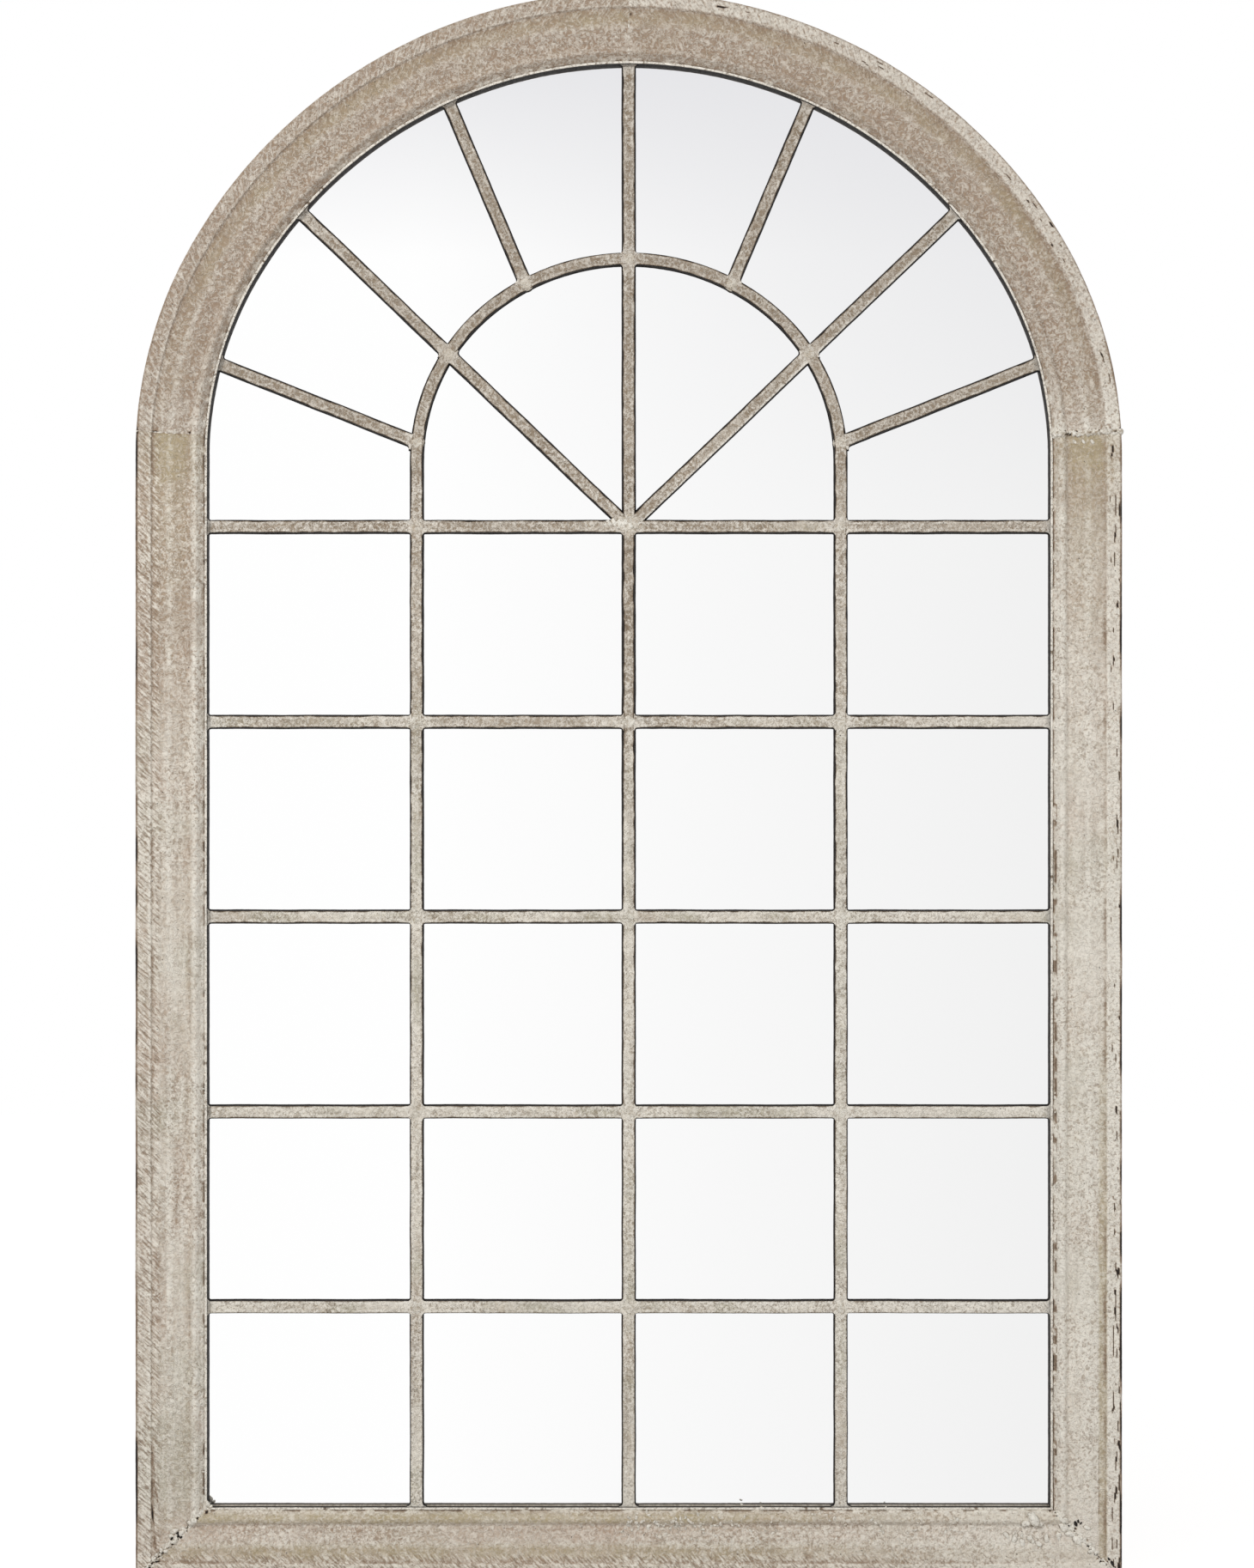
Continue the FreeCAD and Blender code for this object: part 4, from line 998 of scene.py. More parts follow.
def paint_bar_point(vert, layers, across, height, along, seed, joint, painted_light=0.0):
    """Painted shade and dirt on a bar's sides and foot, wear and a painted highlight on its
    arrises; `joint` is the distance to a weld.
    """
    dirt_and_shade_layer, wear_and_highlight_layer, _, flow_layer = layers
    edge = abs(across)
    # painted shade with some dirt: the sides and foot are near black, and the face darkens toward
    # its edges
    dirt_and_shade = read_band([(0, 1.0), (8.6, 1.0), (9.4, 0.6), (9.95, 0.0)], height)
    dirt_and_shade += read_band([(4.5, 0.0), (5.4, 0.32), (6.2, 0.9)], edge) * (
        0.85 + 0.9 * lump(along, seed, across, 11, 5.0))
    wear_and_highlight = read_band([(2.8, 0.0), (4.2, 0.35), (5.2, 0.1)], edge) * (
        0.8 + 1.4 * lump(along, seed, across, 16, 2.5))
    if joint < 14 and height > 9:
        wear_and_highlight += 0.35 * (1 - joint / 14)
        dirt_and_shade *= joint / 14
    if across < -4.4 and height > 9.2:
        # a painted highlight on the lower arris, on the bars that have one
        wear_and_highlight += painted_light
        dirt_and_shade *= 1 - painted_light
    vert[dirt_and_shade_layer] = share(dirt_and_shade)
    vert[wear_and_highlight_layer] = share(wear_and_highlight)
    vert[flow_layer] = Vector((along + seed * 10, across, height)) * MM


def flare(distance, radius):
    """Extra half width of a fillet of this radius, this far from the bar it runs into."""
    if radius <= 0 or distance >= radius:
        return 0.0
    return radius - math.sqrt(radius ** 2 - (radius - max(0.0, distance)) ** 2)


# %% Laying a bar in the lattice
def bar_along_x(bm, length, seed, flares=(4.0, 4.0), bury=(1.0, 1.0), painted_light=0.0):
    """A bar from x = 0 to `length` mm. `bury` is how far each end runs into what it meets."""
    corners = [(-bury[0], BAR_BACK_Y - h, v) for v, h in BAR_SECTION]
    live = section_wire(bm, corners, BAR_ROUNDING, BAR_EDGE)
    sweep(bm, live, line_run((1, 0, 0), length + bury[0] + bury[1]))
    close_ends(bm)
    bm.normal_update()
    layers = paint_layers(bm)
    for vert in bm.verts:
        along, y, across = vert.co / MM
        height = BAR_BACK_Y - y
        joint = min(along, length - along)
        paint_bar_point(vert, layers, across, height, along, seed, max(0.0, joint), painted_light)
        wider = flare(along, flares[0]) + flare(length - along, flares[1])
        wander = 0.40 * lump(along, seed, 0, 58, 1.1) + 0.16 * lump(along, seed, 9, 17, 6.6)
        ragged = 0.15 * lump(along, seed, across * 3, 5.5, 3.3) + 0.1 * lump(
            along, across * 2, seed + height, 2.8, 2.2)
        across += wander + math.copysign(wider + ragged, across)
        if height > 2:
            height += 0.14 * lump(along, across, seed, 12, 4.1) + 0.07 * lump(
                along, across, seed, 3.4, 8.1)
        vert.co = Vector((along, BAR_BACK_Y - height, across)) * MM


FACE_FROM = 8.6        # points higher above the glass than this are on a bar's face


def lay_bar(bm, start, end, seed, flares=(4.0, 4.0), bury=(1.0, 1.0), painted_light=0.0):
    """Adds a bar between two points (x, z) of the lattice to a bmesh."""
    part = new_mesh()
    way = Vector((end[0] - start[0], 0, end[1] - start[1]))
    bar_along_x(part, way.length, seed, flares, bury, painted_light)
    spin = Matrix.Rotation(-math.atan2(way.z, way.x), 4, "Y")
    shift = Matrix.Translation(Vector((start[0], 0, start[1])) * MM)
    bmesh.ops.transform(part, matrix=shift @ spin, verts=part.verts[:])
    dirt_and_shade_layer = paint_layers(part)[0]
    for vert in part.verts:
        x, y, z = vert.co / MM
        if BAR_BACK_Y - y > FACE_FROM:
            # the faces are cleaner toward the floor, and the centre upright darkest at the hub
            vert[dirt_and_shade_layer] *= read_band([(150, 0.4), (950, 1.0)], z)
            if abs(x) < 9 and 850 < z < HUB_Z - 8.8:
                vert[dirt_and_shade_layer] += read_band([(850, 0.0), (1000, 0.34)], z) * (
                    1 + lump(x, 0, z, 9, 3.0))
    add_part(bm, part)


# %% [markdown]
# The uprights run through and the crossbars are cut to fit between them, so each row is four
# short bars. No two were set quite level, so each tilts by up to half a millimetre.

# %% Uprights and crossbars
OPEN_HALF = OUTER["half"] - OPENING
UPRIGHT_TOP = 1231.0   # the outer uprights run on into the legs of the inner arch
for name, x, top in zip(("left", "centre", "right"), COLUMNS,
                        (UPRIGHT_TOP, HUB_Z, UPRIGHT_TOP)):
    bm = new_mesh()
    lay_bar(bm, (x, OPENING), (x, top), 11.0 + x / 37, flares=(4.5, 0.0), bury=(0.6, 0.0))
    finish_piece(f"lattice_upright_{name}", bm, "frame", bar_paint,
                 [f"upright_{name}"])

STOPS = [-OPEN_HALF] + COLUMNS + [OPEN_HALF]
for row, height in enumerate(ROWS, 1):
    bm = new_mesh()
    for bay in range(4):
        start = STOPS[bay] + (0 if bay == 0 else BAR_HALF)
        end = STOPS[bay + 1] - (0 if bay == 3 else BAR_HALF)
        tilt = 0.8 * lump(row * 31, bay * 17, 0, 10, 3.0)
        lay_bar(bm, (start, height + tilt * 0.3), (end, height - tilt * 0.3),
                row * 7.3 + bay * 3.1)
    finish_piece(f"lattice_crossbars_row_{row}", bm, "frame", bar_paint,
                 [f"crossbars_row_{row}"])

# %% [markdown]
# ## The fan
#
# Above the top crossbar a bent bar makes the inner arch, and spokes run from the hub through it
# to the frame. A spoke ends where its line meets the next bar, so a short search along the line
# finds that point with the same function that measures the outline.

# %% Inner arch bar
LEG_FOOT = 1227.3      # the legs stand on the top crossbar
RING_SEED, NO_JOINT = 77.0, 99.0
bm = new_mesh()
corners = [(v - RING["half"], BAR_BACK_Y - h, LEG_FOOT) for v, h in BAR_SECTION]
live = section_wire(bm, corners, BAR_ROUNDING, BAR_EDGE)
sweep(bm, live, line_run((0, 0, 1), RING["spring"] - LEG_FOOT, (True, False))
      + over_the_top(RING)
      + line_run((0, 0, -1), RING["spring"] - LEG_FOOT, (False, True)))
close_ends(bm)
bm.normal_update()
layers = paint_layers(bm)
for vert in bm.verts:
    x, y, z = vert.co / MM
    inset, along = arch_place(RING, x, z)
    height = BAR_BACK_Y - y
    along *= 1 if x < 0 else -1
    paint_bar_point(vert, layers, inset, height, along, RING_SEED, NO_JOINT)
    outward = Vector((vert.normal.x, 0, vert.normal.z))
    ragged = 0.14 * lump(along, inset * 3, height, 5.5, 3.3) + 0.25 * lump(along, 0, 0, 42, 1.5)
    vert.co += outward * ragged * MM
    if height > 2:
        vert.co.y -= (0.14 * lump(along, inset, 5, 12, 4.1) + 0.07 * lump(x, y, z, 3.4, 8.1)) * MM
finish_piece("lattice_inner_arch", bm, "frame", bar_paint, ["inner_arch_bar"])


# %% [markdown]
# Seven spokes run on from the inner arch to the frame and three from the hub to the inner arch.
# Three angles give them all, because the fan is the same on both sides.

# %% Spokes
def meet(arch, angle, gap):
    """Where a ray from the hub comes within `gap` mm of an arch's line from inside."""
    reach = 20.0
    way = Vector((math.cos(angle), math.sin(angle)))
    while True:
        point = Vector((0, HUB_Z)) + way * reach
        if arch_place(arch, point.x, point.y)[0] <= gap:
            return point
        reach += 0.1


SPOKES = {"low": 21.7, "mid": 43.8, "high": 67.0}      # degrees above level
for name, tilt in SPOKES.items():
    for hand, side in (("left", -1), ("right", 1)):
        angle = math.radians(tilt)
        inner, outer = meet(RING, angle, -BAR_HALF), meet(OUTER, angle, OPENING)
        bm = new_mesh()
        lay_bar(bm, (side * inner.x, inner.y), (side * outer.x, outer.y), tilt + side * 3,
                bury=(2.5, 2.0), painted_light=0.8 if (name, side) == ("mid", 1) else 0.0)
        finish_piece(f"fan_spoke_{name}_{hand}", bm, "frame", bar_paint,
                     [f"outer_spoke_{name}_{hand}"])
inner, outer = meet(RING, math.pi / 2, -BAR_HALF), meet(OUTER, math.pi / 2, OPENING)
bm = new_mesh()
lay_bar(bm, inner, outer, 91.0, bury=(1.0, 1.0))
finish_piece("fan_spoke_centre", bm, "frame", bar_paint, ["outer_spoke_centre"])
for name, tilt in zip(("left", "centre", "right"),
                      (180.0 - SPOKES["mid"], 90.0, SPOKES["mid"])):
    end = meet(RING, math.radians(tilt), BAR_HALF)
    bm = new_mesh()
    lay_bar(bm, (0, HUB_Z), end, tilt + 0.7, flares=(0.0, 4.0), bury=(0.0, 1.5),
            painted_light=1.0 if name == "right" else 0.0)
    finish_piece(f"hub_spoke_{name}", bm, "frame", bar_paint,
                 [f"inner_spoke_{name}"])

# %% [markdown]
# ## Filler at the joints
#
# Each weld is ground flush and skimmed with body filler, so a crossing reads as a smooth pale
# patch that runs out onto the bars, and the hub as a small webbed star. A grid of rings pulled to
# a low dome makes each pad: every ring's radius and height are wavered by noise.

# %% Filler pads
PAD_SIDES, PAD_RINGS, PAD_STEP = 48, 7, 0.115      # the step is a share of the pad's radius
PAD_RADIUS = 8.4       # of the pads on the inner arch


def filler_pad(bm, x, z, reach, crown, seed, rise=BAR_DEEP, skirt=1.2):
    """A low dome of filler on the bars' faces. `reach` is its radius by direction, in mm."""
    part = new_mesh()
    bmesh.ops.create_circle(part, cap_ends=True, cap_tris=False, segments=PAD_SIDES,
                            radius=1.0, matrix=Matrix.Identity(4))
    face = part.faces[:][0]
    for _ in range(PAD_RINGS):
        bmesh.ops.inset_region(part, faces=[face], thickness=PAD_STEP, use_boundary=True,
                               use_even_offset=False)
    bmesh.ops.poke(part, faces=[face])
    dirt_and_shade_layer, wear_and_highlight_layer, _, flow_layer = paint_layers(part)
    for vert in part.verts:
        r = min(1.0, math.hypot(vert.co.x, vert.co.y))
        angle = math.atan2(vert.co.y, vert.co.x)
        out = r * reach(angle) * (1 + 0.12 * lump(math.cos(angle) * 9, math.sin(angle) * 9,
                                                  seed, 6, 1.0))
        px, pz = x + out * math.cos(angle), z + out * math.sin(angle)
        height = rise + crown * (1 - r ** 2.2) - skirt * r ** 6
        height += 0.22 * lump(px, pz, seed, 5.5, 2.0) * (1 - r ** 4)
        vert.co = Vector((px, BAR_BACK_Y - height, pz)) * MM
        vert[dirt_and_shade_layer] = 0.0
        vert[wear_and_highlight_layer] = 0.3 * (1 - r)
        vert[flow_layer] = Vector((px, pz, 0)) * MM
    rim = [e for e in part.edges if e.is_boundary]
    skirt_edges = bmesh.ops.extrude_edge_only(part, edges=rim)["geom"]
    low = [g for g in skirt_edges if isinstance(g, bmesh.types.BMVert)]
    # the skirt that hangs down beside the bars is painted dark as shade
    for vert in low:
        vert.co.y = (BAR_BACK_Y - (rise - skirt - 1.5)) * MM
        vert[dirt_and_shade_layer] = 0.8
    close_ends(part)
    add_part(bm, part)


bm = new_mesh()
for row, height in enumerate(ROWS):
    for column, x in enumerate(COLUMNS):
        if row == 0 and column == 1:
            continue
        size = 8.2 + 1.2 * lump(row * 13, column * 29, 0, 10, 2.0)
        filler_pad(bm, x, height, lambda a, s=size: s + 1.5 * math.cos(2 * a) ** 2, 0.45,
                   row * 5.0 + column)
for tilt in [*SPOKES.values(), 90.0, *(180.0 - tilt for tilt in reversed(SPOKES.values()))]:
    point = meet(RING, math.radians(min(tilt, 180 - tilt)), 0.0)
    x = point.x if tilt < 90 else -point.x
    filler_pad(bm, 0.0 if tilt == 90 else x, point.y, lambda a: PAD_RADIUS, 0.4, tilt)
finish_piece("weld_filler", bm, "frame", filler_paint)

# %% Star of filler on the hub
HUB_ARMS = [math.radians(a) for a in (0, SPOKES["mid"], 90, 180 - SPOKES["mid"], 180, 270)]
STAR_RADIUS, STAR_ARM, STAR_UPWARD = 11.5, 7.5, 4.5      # mm: the middle, the arms, the upper half
ARM_WIDTH = 0.22       # radians


def hub_reach(angle):
    """The star runs a little way out along every bar and webs the sharp corners between."""
    nearest = min(abs(math.remainder(angle - arm, 2 * math.pi)) for arm in HUB_ARMS)
    arm = STAR_ARM * math.exp(-(nearest / ARM_WIDTH) ** 2)
    return STAR_RADIUS + arm + (STAR_UPWARD if math.sin(angle) > -0.05 else 0.0)


bm = new_mesh()
filler_pad(bm, 0.0, HUB_Z, hub_reach, 0.8, 4.0, skirt=3.0)
finish_piece("hub_filler_star", bm, "frame", filler_paint)

# %% [markdown]
# ## Beads and crumbs at the moulding's joints
#
# The mitres and butt joints of the skin are stopped with filler that was never sanded, so each
# shows as a ragged ridge with cream crumbs and black pits beside it. A ridge is a round tube laid
# in the joint along the moulding's own section, most of it sunk, with a radius that noise swells
# and starves. Crumbs are small balls pressed flat and set half into the surface.

# %% Ragged beads
FINE = 8               # points of a bead for each straight stretch of the section
SECTION_FINE = []
for (u0, w0), (u1, w1) in zip(SKIN_OUT, SKIN_OUT[1:]):
    for i in range(FINE):
        SECTION_FINE.append((u0 + (u1 - u0) * i / FINE, w0 + (w1 - w0) * i / FINE))


def ragged_bead(bm, line, radius, sink, starve, seed, pits):
    """A bead along points in mm. `starve` thins it out more often, `pits` makes it blacker."""
    curve = bpy.data.curves.new("bead", "CURVE")
    curve.dimensions = "3D"
    curve.bevel_depth = radius * MM
    curve.bevel_resolution = 3
    curve.use_fill_caps = True
    spline = curve.splines.new("NURBS")
    spline.points.add(len(line) - 1)
    for point, place in zip(spline.points, line):
        point.co = (*(Vector(place) * MM), 1.0)
    spline.order_u = 3
    spline.use_endpoint_u = True
    spline.resolution_u = 6
    holder = bpy.data.objects.new("bead", curve)
    mesh = bpy.data.meshes.new_from_object(holder)
    part = new_mesh()
    part.from_mesh(mesh)
    bmesh.ops.remove_doubles(part, verts=part.verts[:], dist=1e-6)
    part.normal_update()
    dirt_and_shade_layer, wear_and_highlight_layer, _, flow_layer = paint_layers(part)
    for vert in part.verts:
        x, y, z = vert.co / MM
        swell = lump(x, y, z, 3.4, seed) + 0.7 * lump(x, y, z, 8, seed + 3)
        grow = radius * (0.9 * swell - starve)
        vert.co += vert.normal * min(radius * 0.9, grow) * MM + Vector((0, sink, 0)) * MM
        vert[dirt_and_shade_layer] = share(-swell * pits - 0.15)
        vert[wear_and_highlight_layer] = share(0.6 + 2.0 * swell)
        vert[flow_layer] = Vector((x, z, 0)) * MM
    bpy.data.objects.remove(holder)
    bpy.data.meshes.remove(mesh)
    add_part(bm, part)


def joint_line(to_place):
    """The moulding's front section, laid in a joint from its outer arris to the lip."""
    return [to_place(u, w) for u, w in SECTION_FINE[FINE + 2:-FINE - 1]]


def mitre_point(side):
    """Lays a section point in the mitre of a bottom corner."""
    return lambda u, w: (side * (OUTER["half"] - u), BACK_Y - w, u)


def seam_point(side):
    """Lays a section point in the butt joint just above the spring line."""
    def to_place(u, w):
        reach = OUTER["haunch_r"] - u
        return (side * (OUTER["haunch_x"] + reach * math.cos(SEAM_TILT)), BACK_Y - w,
                OUTER["spring"] + reach * math.sin(SEAM_TILT))
    return to_place


def crown_point(u, w):
    """Lays a section point in the butt joint at the crown."""
    return 0.0, BACK_Y - w, OUTER["crown_z"] + OUTER["crown_r"] - u


# %% The five beads
BEADS = [
    # joint, radius and depth sunk in mm, how often it thins out, seed, how black its pits are
    (mitre_point(-1), 2.7, 0.7, 0.1, 2.0, 4.0),
    (mitre_point(1), 2.3, 0.7, 0.15, 6.0, 4.0),
    (seam_point(1), 2.6, 0.9, -0.15, 9.0, 1.6),
    (seam_point(-1), 0.9, 0.45, 0.45, 12.0, 4.0),
    (crown_point, 0.9, 0.5, 0.5, 15.0, 4.0),
]
bm = new_mesh()
for to_place, *look in BEADS:
    ragged_bead(bm, joint_line(to_place), *look)
finish_piece("joint_filler_beads", bm, "frame", filler_paint)

# %% [markdown]
# Crumbs break the smooth skin where filler and paint dried in lumps: dark specks and cream lumps
# turn and turn about along both mitres, small groups at the places that the eye finds first, and
# loose ones scattered by a seeded draw. Every crumb is the same small ball, pressed and turned.

# %% One crumb
def surface_w(u):
    """Height of the moulding's face above its back at `u` mm from the outer edge."""
    return read_band(SKIN_OUT[1:-1], u)


def crumb(bm, x, z, w, radius, flat, seed, pale=0.8, ring=0.7):
    """A small ball pressed to `flat` of its height, set half into the face at height w.

    Its paint has two weights: how far its front-facing top is rubbed to cream, in part a painted
    highlight, and how dark it is round its foot, as dirt and painted shade.
    """
    part = new_mesh()
    bmesh.ops.create_icosphere(part, subdivisions=3, radius=1.0)
    dirt_and_shade_layer, wear_and_highlight_layer, _, _ = paint_layers(part)
    turn = Matrix.Rotation(seed, 3, "Y")
    for vert in part.verts:
        rough = 1 + 0.35 * noise.noise(vert.co * 1.6 + Vector((seed, 0, 0))) + 0.2 * noise.noise(
            vert.co * 4.0 + Vector((0, seed, 0)))
        # the foot is painted darker and the front-facing top paler: dirt and rubbing, and also
        # painted shade at the foot and a painted highlight on the top
        front = abs(vert.co.y)
        vert[dirt_and_shade_layer] = share(ring - front * 1.5)
        vert[wear_and_highlight_layer] = pale * share(front * 1.4)
        spot = Vector((vert.co.x * 1.35, vert.co.y * flat, vert.co.z * 0.8)) * radius * rough
        spot.rotate(turn)
        vert.co = (spot + Vector((x, BACK_Y - w, z))) * MM
    add_part(bm, part)


# %% Crumbs along the mitres
bm = new_mesh()
shake = random.Random(5)
SPECK = {"flat": 0.25, "pale": 0.0, "ring": 3.0}       # a flat dark speck, like a pit


def any_turn():
    """A new turn for a crumb."""
    return shake.uniform(0, 90)


for side, count in ((-1, 17), (1, 13)):
    for step in range(count):
        inset = 5 + 72 * (step + shake.uniform(0.1, 0.9)) / count
        dx, dz = inset - OUTER["half"] + shake.gauss(0.6, 0.7), inset + shake.gauss(-0.6, 0.7)
        crumb(bm, -side * dx, dz, surface_w(inset) + 0.4, shake.uniform(1.1, 1.9),
              seed=any_turn(), **SPECK)
        dx, dz = dx - shake.uniform(1.8, 3.2), dz + shake.uniform(1.2, 2.8)
        crumb(bm, -side * dx, dz, surface_w(inset), shake.uniform(1.4, 2.5), 0.6, any_turn(),
              1.0, 0.9)

# %% Groups of crumbs
# each group: how far it stands above the moulding's face, its finish, and (x, z, radius) of each
GROUPS = [
    # the cluster of specks on the lower left mitre, the hook on the lower right one
    (0.5, SPECK, [(-523, 52, 2.6), (-519, 48.5, 1.6), (-529.5, 47, 1.7), (518, 64, 2.4),
                  (521, 67, 1.6), (524, 65, 1.3), (560, 19, 2.2), (556, 24, 1.5)]),
    # lumps on the lower left mitre
    (-0.2, {"flat": 0.6}, [(-527, 55.5, 4.0), (-518.5, 53.5, 3.4), (-524.5, 46, 3.2),
                           (-530, 50.5, 2.4), (-516.5, 58.5, 2.0), (-531, 44, 1.9),
                           (-513, 54, 1.6), (-536, 38, 2.2), (-541, 32, 1.8), (-549, 24, 1.8),
                           (-556, 17, 2.0), (-562, 10, 1.8)]),
    # a cream flake along the left arm of the hub, on the bars' faces
    (None, {"flat": 0.22, "pale": 1.0}, [(-23, 1225, 3.2), (-17, 1226, 3.8), (-11, 1225.5, 4.4),
                                         (-5, 1224, 4.6), (2, 1222, 4.0), (-27, 1223.6, 1.8),
                                         (-13, 1221, 2.4)]),
    # three short dabs below the right-hand seam
    (0.0, {"flat": 0.2, "pale": 1.0}, [(517, 1318.5, 2.2), (527, 1318.5, 2.2),
                                       (537, 1318.5, 2.2)]),
    # smears and round lumps on the lower right corner
    (0.0, {"flat": 0.42, "pale": 0.9, "ring": 0.8}, [
        (469, 70, 7.0), (460, 65, 4.5), (476, 64, 3.6), (506, 60, 6.5), (512, 52, 5.0),
        (520, 45, 5.5), (498, 50, 4.0), (447, 47, 4.2), (456, 43, 3.6), (466, 46, 4.4),
        (475, 41, 3.4), (484, 47, 4.0), (438, 51, 3.4), (531, 60, 3.2), (536, 33, 3.4),
        (550, 18, 3.0)]),
]
for above, look, spots in GROUPS:
    for x, z, radius in spots:
        face = BAR_FACE + 0.1 if above is None else above + surface_w(
            min(OUTER["half"] - abs(x), z))
        crumb(bm, x, z, face, radius, seed=any_turn(), **look)
# the weld blob at the lower left corner of the opening, high on the lip
for x, z, radius, turn in ((-488.6, 86.0, 3.1, 4.4), (-485.0, 83.2, 2.0, 8.8)):
    crumb(bm, x, z, 36.2, radius, 0.6, turn, 1.0, 0.0)

# %% Scattered crumbs
# a crust under the foot of the centre upright, and along the bottom rail's bead to the right
for count, left, right, middle, spread, small, large, flat in (
        (70, -10, 128, 63, 7, 1.0, 2.4, 0.6), (60, 130, 470, 64, 8, 0.8, 2.2, 0.5)):
    for _ in range(count):
        x, z = shake.uniform(left, right), shake.gauss(middle, spread)
        crumb(bm, x, z, surface_w(z), shake.uniform(small, large), flat, any_turn())
# beads of old weld along the inner lip of both sides
for side, count in ((-1, 26), (1, 44)):
    for _ in range(count):
        z = shake.uniform(95, 1300)
        x = side * (OUTER["half"] - shake.uniform(74.5, 78.5))
        crumb(bm, x, z, surface_w(OUTER["half"] - abs(x)), shake.uniform(0.8, 1.9), 0.6,
              any_turn(), 0.7)
# a few specks on the outer band and the field
for _ in range(46):
    side = shake.choice((-1, 1, 1))
    inset = shake.uniform(3, 60)
    crumb(bm, side * (OUTER["half"] - inset), shake.uniform(100, 1290), surface_w(inset) - 0.1,
          shake.uniform(0.6, 1.3), 0.5, any_turn(), 0.6)
finish_piece("filler_crumbs", bm, "frame", filler_paint)

# %% [markdown]
# ## Screws and bumpers
#
# Pan-head screws with a cross recess hold the back together. The CAD model already has each screw
# as a plain head, so its islands tell where the heads are, and one small shape is made on each:
# a disc inset to a rim, domed, with a cross pressed into it.

# %% Islands of a CAD piece
def islands(node):
    """Lowest and highest corner of every separate solid in a CAD node, in mm."""
    bm = bmesh.new()
    bm.from_mesh(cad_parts[node].data)
    bmesh.ops.remove_doubles(bm, verts=bm.verts[:], dist=1e-6)
    left = set(bm.verts)
    boxes = []
    while left:
        stack = [left.pop()]
        found = []
        while stack:
            vert = stack.pop()
            found.append(vert.co / MM)
            for edge in vert.link_edges:
                other = edge.other_vert(vert)
                if other in left:
                    left.remove(other)
                    stack.append(other)
        boxes.append((Vector(map(min, *found)), Vector(map(max, *found))))
    bm.free()
    return boxes


# %% Screw heads
HEAD_DEEP = 2.0        # mm from under the head to its top
# each ring of the dome: how far in, as a share of the radius, and up, as a share of the depth
DOME = ((0.07, 0.30), (0.12, 0.17), (0.16, 0.08))


def faces_of(made):
    """The faces that an operator made."""
    return [g for g in made["geom"] if isinstance(g, bmesh.types.BMFace)]


def screw_head(bm, low, high, seed):
    """A pan head with a cross recess, filling the CAD head's box."""
    part = new_mesh()
    radius = (high.x - low.x) / 2
    bmesh.ops.create_circle(part, cap_ends=True, segments=24, radius=radius * 0.98)
    top = faces_of(bmesh.ops.extrude_face_region(part, geom=part.faces[:]))[0]
    bmesh.ops.translate(part, vec=(0, 0, HEAD_DEEP * 0.45), verts=top.verts[:])
    for inset, lift in DOME:
        bmesh.ops.inset_region(part, faces=[top], thickness=radius * inset)
        bmesh.ops.translate(part, vec=(0, 0, HEAD_DEEP * lift), verts=top.verts[:])
    cross = []
    long, short = radius * 0.52, radius * 0.13
    for px, py in ((long, short), (short, short), (short, long), (-short, long), (-short, short),
                   (-long, short), (-long, -short), (-short, -short), (-short, -long),
                   (short, -long), (short, -short), (long, -short)):
        cross.append(part.verts.new((px, py, top.calc_center_median().z + HEAD_DEEP * 0.01)))
    mark = part.faces.new(cross)
    floor = faces_of(bmesh.ops.extrude_face_region(part, geom=[mark]))[0]
    bmesh.ops.translate(part, vec=(0, 0, -HEAD_DEEP * 0.45), verts=floor.verts[:])
    centre = (low + high) / 2
    spin = Matrix.Rotation(seed * 1.3, 4, "Z")
    stand = Matrix.Rotation(-math.pi / 2, 4, "X")
    place = Matrix.Translation(Vector((centre.x, high.y - HEAD_DEEP, centre.z)))
    bmesh.ops.transform(part, matrix=Matrix.Scale(MM, 4) @ place @ stand @ spin,
                        verts=part.verts[:])
    add_part(bm, part)


for node in ("clip_screws", "plate_screws", "hanger_screws"):
    bm = new_mesh()
    heads = islands(node)
    for seed, (low, high) in enumerate(sorted(heads, key=lambda b: tuple(b[0]))):
        screw_head(bm, low, high, seed)
    finish_piece(f"cross_head_{node}", bm, "frame", zinc, [node], smooth=False)
    print(node, len(heads), "heads")

# %% [markdown]
# The bumpers are moulded rubber buttons with a rounded rim and a sunk middle for their pin. Each
# is turned: half a profile spun once round, filling the CAD button's box.

# %% Rubber bumpers
bm = new_mesh()
for low, high in islands("wall_bumpers"):
    part = new_mesh()
    centre = (low + high) / 2
    radius = (high.x - low.x) / 2
    tall = high.y - low.y
    profile = [(radius * 0.93, 0), (radius, 0.8), (radius, tall * 0.5),
               (radius * 0.9, tall - 0.8), (radius * 0.72, tall), (radius * 0.36, tall),
               (radius * 0.30, tall - 1.6), (0, tall - 1.6)]
    verts = [part.verts.new((r, h, 0)) for r, h in profile]
    edges = [part.edges.new(pair) for pair in zip(verts, verts[1:])]
    bmesh.ops.spin(part, geom=verts + edges, cent=(0, 0, 0), axis=(0, 1, 0), angle=2 * math.pi,
                   steps=40, use_merge=True)
    bmesh.ops.remove_doubles(part, verts=part.verts[:], dist=1e-4)
    close_ends(part)
    bmesh.ops.transform(part, matrix=Matrix.Scale(MM, 4) @ Matrix.Translation(
        Vector((centre.x, low.y, centre.z))), verts=part.verts[:])
    add_part(bm, part)
finish_piece("turned_rubber_bumpers", bm, "frame", rubber, ["wall_bumpers"])

# %% [markdown]
# ## Studio
#
# The photograph is a straight frontal view on plain white, with so little perspective that it was
# taken from about five metres. The camera stands there, with a lens that shows the photograph's
# width at the frame's front.

